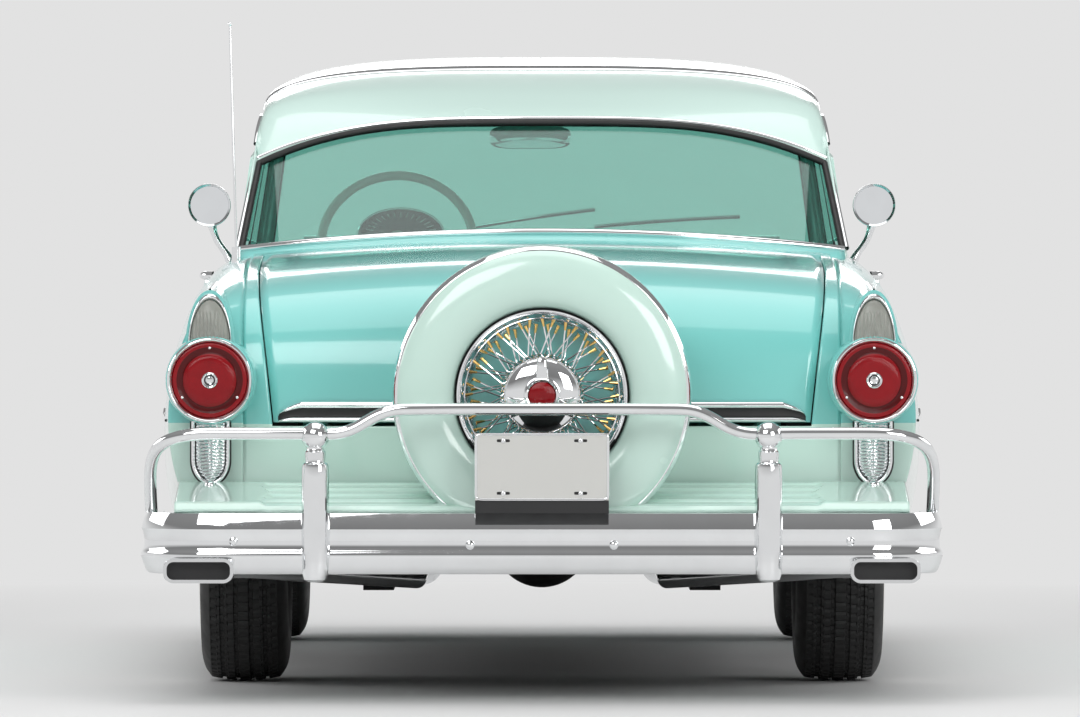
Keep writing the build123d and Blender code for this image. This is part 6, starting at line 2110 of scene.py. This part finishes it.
@dataclass
class Instruments:
    """The dashboard with its hooded, half-round speedometer, the mirror over it and the wipers outside."""
    x: float = -0.367
    base_z: float = 1.088
    half: float = 0.112
    height: float = 0.068
    face: float = 3.336

    def build(self) -> None:
        """Makes the hood, dial, ticks, mirror and wipers."""
        turn = np.linspace(0, np.pi, 48)
        arch = stacked(self.half * np.cos(turn), self.height * np.sin(turn))
        skin = Skin("instruments", [AQUA, GASKET, CHROME, PLATE_ENAMEL])
        face = self.face
        hood = ((face, 0.965), (face - 0.008, 0.99), (face - 0.006, 1.03), (face + 0.03, 1.02),
                (face + 0.1, 0.8), (face + 0.14, 0.0))
        skin.add(carried(arch, hood, self.x, self.base_z))
        self.dash(skin)
        skin.add(carried(arch, ((face, 0.97), (face, 0.0)), self.x, self.base_z), mark=1)
        rim = carried(arch, ((face - 0.008, 1.0),), self.x, self.base_z)[0]
        skin.add(tube(rim, 0.003, 10, up=(0, 1, 0)), wrap_v=True, mark=2)
        for a in np.radians(np.linspace(14, 166, 15)):
            ray = np.array([self.half * math.cos(a), self.height * math.sin(a)])
            beside = 0.0016 * np.array([-math.sin(a), math.cos(a)])
            tick = np.array([[ray * k - beside, ray * k + beside] for k in (0.66, 0.84)])
            skin.add(stacked(self.x + tick[..., 0], place(face - 0.0015), self.base_z + tick[..., 1]), mark=3)
        skin.build("body", "aqua_paint", outside=(self.x, place(3.42), 1.02), replaces=["dashboard"])
        self.mirror()

    def dash(self, skin: Skin) -> None:
        """Adds the dashboard: a section with a rounded brow, carried across and closed at both ends.

        Args:
            skin: takes the surfaces.
        """
        brow = through(((3.332, 0.94), (3.334, 1.02), (3.342, 1.064), (3.364, 1.083), (3.4, 1.0845),
                        (3.45, 1.082), (3.476, 1.064), (3.48, 1.03)), 40)
        under = [(3.48, 1.0), (3.736, 1.0), (3.736, 0.82), (3.348, 0.816), (3.334, 0.83)]
        loop = np.concatenate([brow, under])
        x = np.array([-0.619, -0.62, 0.62, 0.619])[:, None]
        shrink = np.array([0.0, 1.0, 1.0, 0.0])[:, None, None]
        middle = np.array([3.45, 0.94])
        flat = middle + (loop[None] - middle) * shrink
        skin.add(stacked(x, place(flat[..., 0]), flat[..., 1]), wrap_v=True)

    def mirror(self) -> None:
        """The driving mirror under the roof and the two wipers on the windshield."""
        skin = Skin("mirror_and_wipers", [CHROME, STAINLESS, GASKET])
        oblong = round_box(0.105, 0.03, 4.0, 48)
        rows = ((3.205, 0.0), (3.205, 0.94), (3.208, 1.0), (3.22, 0.96), (3.228, 0.7), (3.23, 0.0))
        skin.add(carried(oblong, rows, -0.03, 1.34), wrap_v=True)
        stalk = through([(-0.03, place(d), z) for d, z in ((3.226, 1.345), (3.24, 1.38), (3.236, 1.44))], 12)
        skin.add(tube(stalk, 0.0055, 10, up=(1, 0, 0)), wrap_v=True)
        house = Greenhouse()
        for rear_x, tip_x in ((0.14, 0.52), (-0.18, 0.14)):
            x = np.linspace(rear_x, tip_x, 30)
            z = house.base_z(x) + 0.022 + 0.045 * np.linspace(0, 1, 30)
            line = stacked(x, place(house.front_station(z, x)) + 0.014, z)
            skin.add(tube(line, 0.0042, 8), wrap_v=True, mark=1)
            skin.add(tube(line + np.array([0.0, -0.008, -0.003]), 0.003, 8), wrap_v=True, mark=2)
        skin.build("body", "chrome")


@dataclass
class SideFittings:
    """Bright mouldings on the paint line, door handles and door mirrors."""
    handle_station: tuple[float, float] = (2.185, 2.33)
    handle_z: float = 0.985
    sill: float = 0.346
    strip_half: float = 0.0062
    mirror: tuple[float, float, float] = (0.862, 3.19, 1.166)
    head: tuple = ((0.001, 0.0), (0.0008, 0.049), (-0.002, 0.05), (-0.008, 0.0525), (-0.009, 0.0545),
                   (-0.006, 0.056), (0.006, 0.0555), (0.024, 0.05), (0.044, 0.038), (0.06, 0.022),
                   (0.068, 0.008), (0.07, 0.0))
    stalk: tuple = ((0.006, 0.024, 0.05), (0.02, 0.022, 0.092), (0.046, 0.02, 0.13), (0.052, 0.02, 0.142))

    def build(self) -> None:
        """Makes the fittings of both sides, each on the panel that carries it."""
        quarters, wings = RearQuarters(), FrontWings()
        for side in Side:
            for name, body, stations, bottom in (
                    ("quarter", "body", np.linspace(0.7, 2.112, 90), quarters.bottom),
                    ("door", f"door_{side.word}", np.linspace(2.128, 3.37, 90), lambda d: self.sill + 0 * d),
                    ("wing", "body", np.linspace(3.388, 5.06, 90), wings.bottom)):
                z = np.maximum(TRIM.z(stations), bottom(stations) + 0.006)
                path = stacked(SHAPE.side_x(stations, z) + 0.0003, place(stations), z)
                taper = np.sqrt(np.sin(np.linspace(0.02, np.pi - 0.02, 90))) ** 0.3
                strip = tube(path, self.strip_half * taper, 10)
                Skin(f"{name}_moulding_{side.word}", [CHROME]).add(sided(strip, side), wrap_v=True).build(
                    body, "chrome", Shade.SMOOTH)
            self.handle(side)
            self.door_mirror(side)

    def handle(self, side: Side) -> None:
        """A pull handle: a bar bowed out from the door between two feet.

        Args:
            side: which side.
        """
        rear, front = self.handle_station
        d = np.linspace(rear, front, 40)
        skin_x = SHAPE.side_x(d, self.handle_z)
        bow = 0.03 * np.sin(np.linspace(0, np.pi, 40)) ** 0.35
        path = stacked(skin_x + bow - 0.004, place(d), self.handle_z)
        thick = 0.0085 + 0.0025 * np.cos(np.linspace(0, 2 * np.pi, 40))
        Skin(f"door_handle_{side.word}", [CHROME]).add(sided(tube(path, thick, 14), side), wrap_v=True).build(
            f"door_{side.word}", "chrome", Shade.SMOOTH)

    def door_mirror(self, side: Side) -> None:
        """A round mirror: glass, rim and bullet housing turned about a line along the car, on a stalk.

        Args:
            side: which side.
        """
        x, station, z = self.mirror
        rows = np.array(self.head) + (station, 0.0)
        skin = Skin(f"mirror_head_{side.word}", [CHROME, MIRROR])
        marks = np.array([1] + [0] * (len(rows) - 2))[:, None]
        skin.add(sided(lathe(rows, x, z, 48), side), wrap_v=True, mark=marks)
        stalk = through([(x - a, place(station + b), z - c) for a, b, c in self.stalk], 24)
        thick = 0.009 + 0.004 * np.linspace(-1, 1, 24) ** 4
        skin.add(sided(tube(stalk, thick, 14, up=(0, 1, 0)), side), wrap_v=True)
        skin.build(f"door_{side.word}", "chrome", replaces=[f"mirror_{side.word}"])


@dataclass
class KeptNodes:
    """CAD nodes whose shape is right: they keep it and get a finish."""
    finishes: tuple = (
        (AQUA, ("cowl", "nose_panel")),
        (CHROME, ("front_bumper", "grille", "aerial")),
        (GLASS, ("quarter_glass", "door_glass_left", "door_glass_right")),
        (FRAME_BLACK, ("frame", "floor_pan", "plate_bracket", "spare_carrier", "fuel_tank", "driveshaft",
                       "leaf_springs", "front_arms", "rear_axle")),
        (IRON, ("engine", "knuckle_left", "knuckle_right")),
        (STAINLESS, ("exhaust",)),
        (WHEEL_RIM, ("steering_column",)),
        (VINYL, ("parcel_shelf",)),
        (PLATE_ENAMEL, ("number_plate",)),
    )

    def dress(self) -> None:
        """Gives each node a smooth copy in its finish."""
        for finish, nodes in self.finishes:
            for node in nodes:
                smoothed_node(node, finish)


# The stage


@dataclass
class Studio:
    """A pale floor, soft light and the camera at the photograph's angle."""
    floor_half: float = 60.0
    floor_colour: tuple[float, float, float] = (0.7, 0.7, 0.7)
    backdrop: tuple[float, float, float] = (0.76, 0.76, 0.76)
    fade: tuple[float, float] = (3.2, 7.0)
    backdrop_fall: tuple = ((0.0, 0.76), (0.1, 0.76), (0.32, 0.22), (1.0, 0.32))
    room: tuple = ((0.05, 0.1), (0.7, 0.55))
    camera_behind: float = 25.0
    camera_x: float = -0.0046
    camera_z: float = 1.019
    lens: float = 362.3
    pitch_down: float = 0.509

    def build(self) -> None:
        """Sets up floor, world, lamps and camera."""
        self.floor()
        self.world()
        for name, spot, aim, size, watts in (
                ("top_box", (0.0, -1.2, 5.6), (0.0, -0.6, 0.8), (4.2, 6.4), 125.0),
                ("rear_box", (-2.4, -7.2, 4.4), (0.0, -2.0, 0.8), (3.6, 2.8), 135.0),
                ("rear_fill", (3.4, -7.0, 2.6), (0.0, -2.0, 0.7), (2.4, 2.4), 95.0),
                ("left_box", (-6.0, 0.6, 3.0), (0.0, 0.0, 0.8), (5.0, 2.2), 90.0),
                ("right_box", (6.0, 0.6, 3.0), (0.0, 0.0, 0.8), (5.0, 2.2), 90.0),
                ("front_box", (0.0, 7.5, 3.6), (0.0, 2.0, 0.7), (4.0, 2.4), 95.0)):
            self.lamp(name, spot, aim, size, watts)
        self.camera()

    def floor(self) -> None:
        """A wide, pale floor that takes the car's shadow and runs out into the plain backdrop."""
        half = self.floor_half
        mesh = bpy.data.meshes.new("studio_floor")
        corners = [(-half, -half, 0), (half, -half, 0), (half, half, 0), (-half, half, 0)]
        mesh.from_pydata(corners, [], [(0, 1, 2, 3)])
        material = Plain("studio_floor", self.floor_colour, 0.6).material()
        tree = material.node_tree
        link = tree.links.new
        coords = tree.nodes["Texture Coordinate"]
        reach = tree.nodes.new("ShaderNodeVectorMath")
        reach.operation = "LENGTH"
        fade = tree.nodes.new("ShaderNodeMapRange")
        for socket, value in (("From Min", self.fade[0]), ("From Max", self.fade[1])):
            fade.inputs[socket].default_value = value
        glow = tree.nodes.new("ShaderNodeEmission")
        glow.inputs["Color"].default_value = (*self.backdrop, 1)
        far = tree.nodes.new("ShaderNodeMath")
        far.operation = "MULTIPLY"
        mix = tree.nodes.new("ShaderNodeMixShader")
        link(coords.outputs["Object"], reach.inputs[0])
        link(reach.outputs["Value"], fade.inputs["Value"])
        link(fade.outputs["Result"], far.inputs[0])
        link(self.looked_at(tree), far.inputs[1])
        link(far.outputs[0], mix.inputs[0])
        link(tree.nodes["Principled BSDF"].outputs[0], mix.inputs[1])
        link(glow.outputs[0], mix.inputs[2])
        link(mix.outputs[0], tree.nodes["Material Output"].inputs["Surface"])
        mesh.materials.append(material)
        linked("studio_floor", mesh)

    def world(self) -> None:
        """A soft room: the backdrop where it is looked at or mirrored, and a dim fill elsewhere."""
        world = bpy.data.worlds.new("studio_room")
        bpy.context.scene.world = world
        world.use_nodes = True
        tree = world.node_tree
        link = tree.links.new
        coords = tree.nodes.new("ShaderNodeTexCoord")
        split = tree.nodes.new("ShaderNodeSeparateXYZ")
        mix = tree.nodes.new("ShaderNodeMix")
        mix.data_type = "RGBA"
        link(coords.outputs["Generated"], split.inputs[0])
        for stops, socket in ((self.room, 6), (self.backdrop_fall, 7)):
            ramp = tree.nodes.new("ShaderNodeValToRGB")
            elements = ramp.color_ramp.elements
            while len(elements) < len(stops):
                elements.new(1.0)
            for element, (spot, grey) in zip(elements, stops):
                element.position = spot
                element.color = (grey, grey, grey, 1)
            link(split.outputs["Z"], ramp.inputs[0])
            link(ramp.outputs[0], mix.inputs[socket])
        link(self.looked_at(tree), mix.inputs[0])
        link(mix.outputs[2], tree.nodes["Background"].inputs["Color"])

    def looked_at(self, tree: bpy.types.NodeTree) -> bpy.types.NodeSocket:
        """A socket that gives 1 for what the camera sees, straight, in a mirror or through glass.

        Args:
            tree: the node tree that it is made in.
        Returns:
            The socket.
        """
        path = tree.nodes.new("ShaderNodeLightPath")
        seen = path.outputs["Is Camera Ray"]
        for ray in ("Is Glossy Ray", "Is Transmission Ray"):
            either = tree.nodes.new("ShaderNodeMath")
            either.operation = "MAXIMUM"
            tree.links.new(seen, either.inputs[0])
            tree.links.new(path.outputs[ray], either.inputs[1])
            seen = either.outputs[0]
        return seen

    def lamp(self, name: str, spot: Point, aim: Point, size: tuple[float, float], watts: float) -> None:
        """One soft box.

        Args:
            name: the lamp's name.
            spot: where it stands.
            aim: what it looks at.
            size: its two sides.
            watts: its power.
        """
        light = bpy.data.lights.new(name, "AREA")
        light.shape = "RECTANGLE"
        light.size, light.size_y = size
        light.energy = watts
        obj = linked(name, light)
        obj.location = spot
        look = np.asarray(aim, float) - np.asarray(spot, float)
        obj.rotation_euler = Vector(look).to_track_quat("-Z", "Y").to_euler()

    def camera(self) -> None:
        """A long lens far behind the car, at the photograph's height and aim."""
        data = bpy.data.cameras.new("photo_camera")
        data.lens = self.lens
        data.sensor_width = 36.0
        data.clip_end = 200.0
        obj = linked("photo_camera", data)
        obj.location = (self.camera_x, place(-self.camera_behind), self.camera_z)
        obj.rotation_euler = (math.radians(90 - self.pitch_down), 0, 0)
        bpy.context.scene.camera = obj


def main() -> None:
    """Builds the car's pieces in order, then the studio."""
    logging.basicConfig(level=logging.INFO, format="%(message)s")
    bpy.context.scene.view_settings.view_transform = "Standard"
    for kind in (BootLid, RearQuarters, WheelHouses, Doors, FrontWings, Headlamps, Hood, RearBumper,
                 BumperTop, TailLamps, NumberPlate, Apron, Spare, RoadWheels, Greenhouse, SideFittings,
                 SteeringWheel, Instruments, Seats):
        LOG.info("building %s", kind.__name__)
        kind().build()
    KeptNodes().dress()
    Studio().build()


if __name__ == "__main__":
    main()
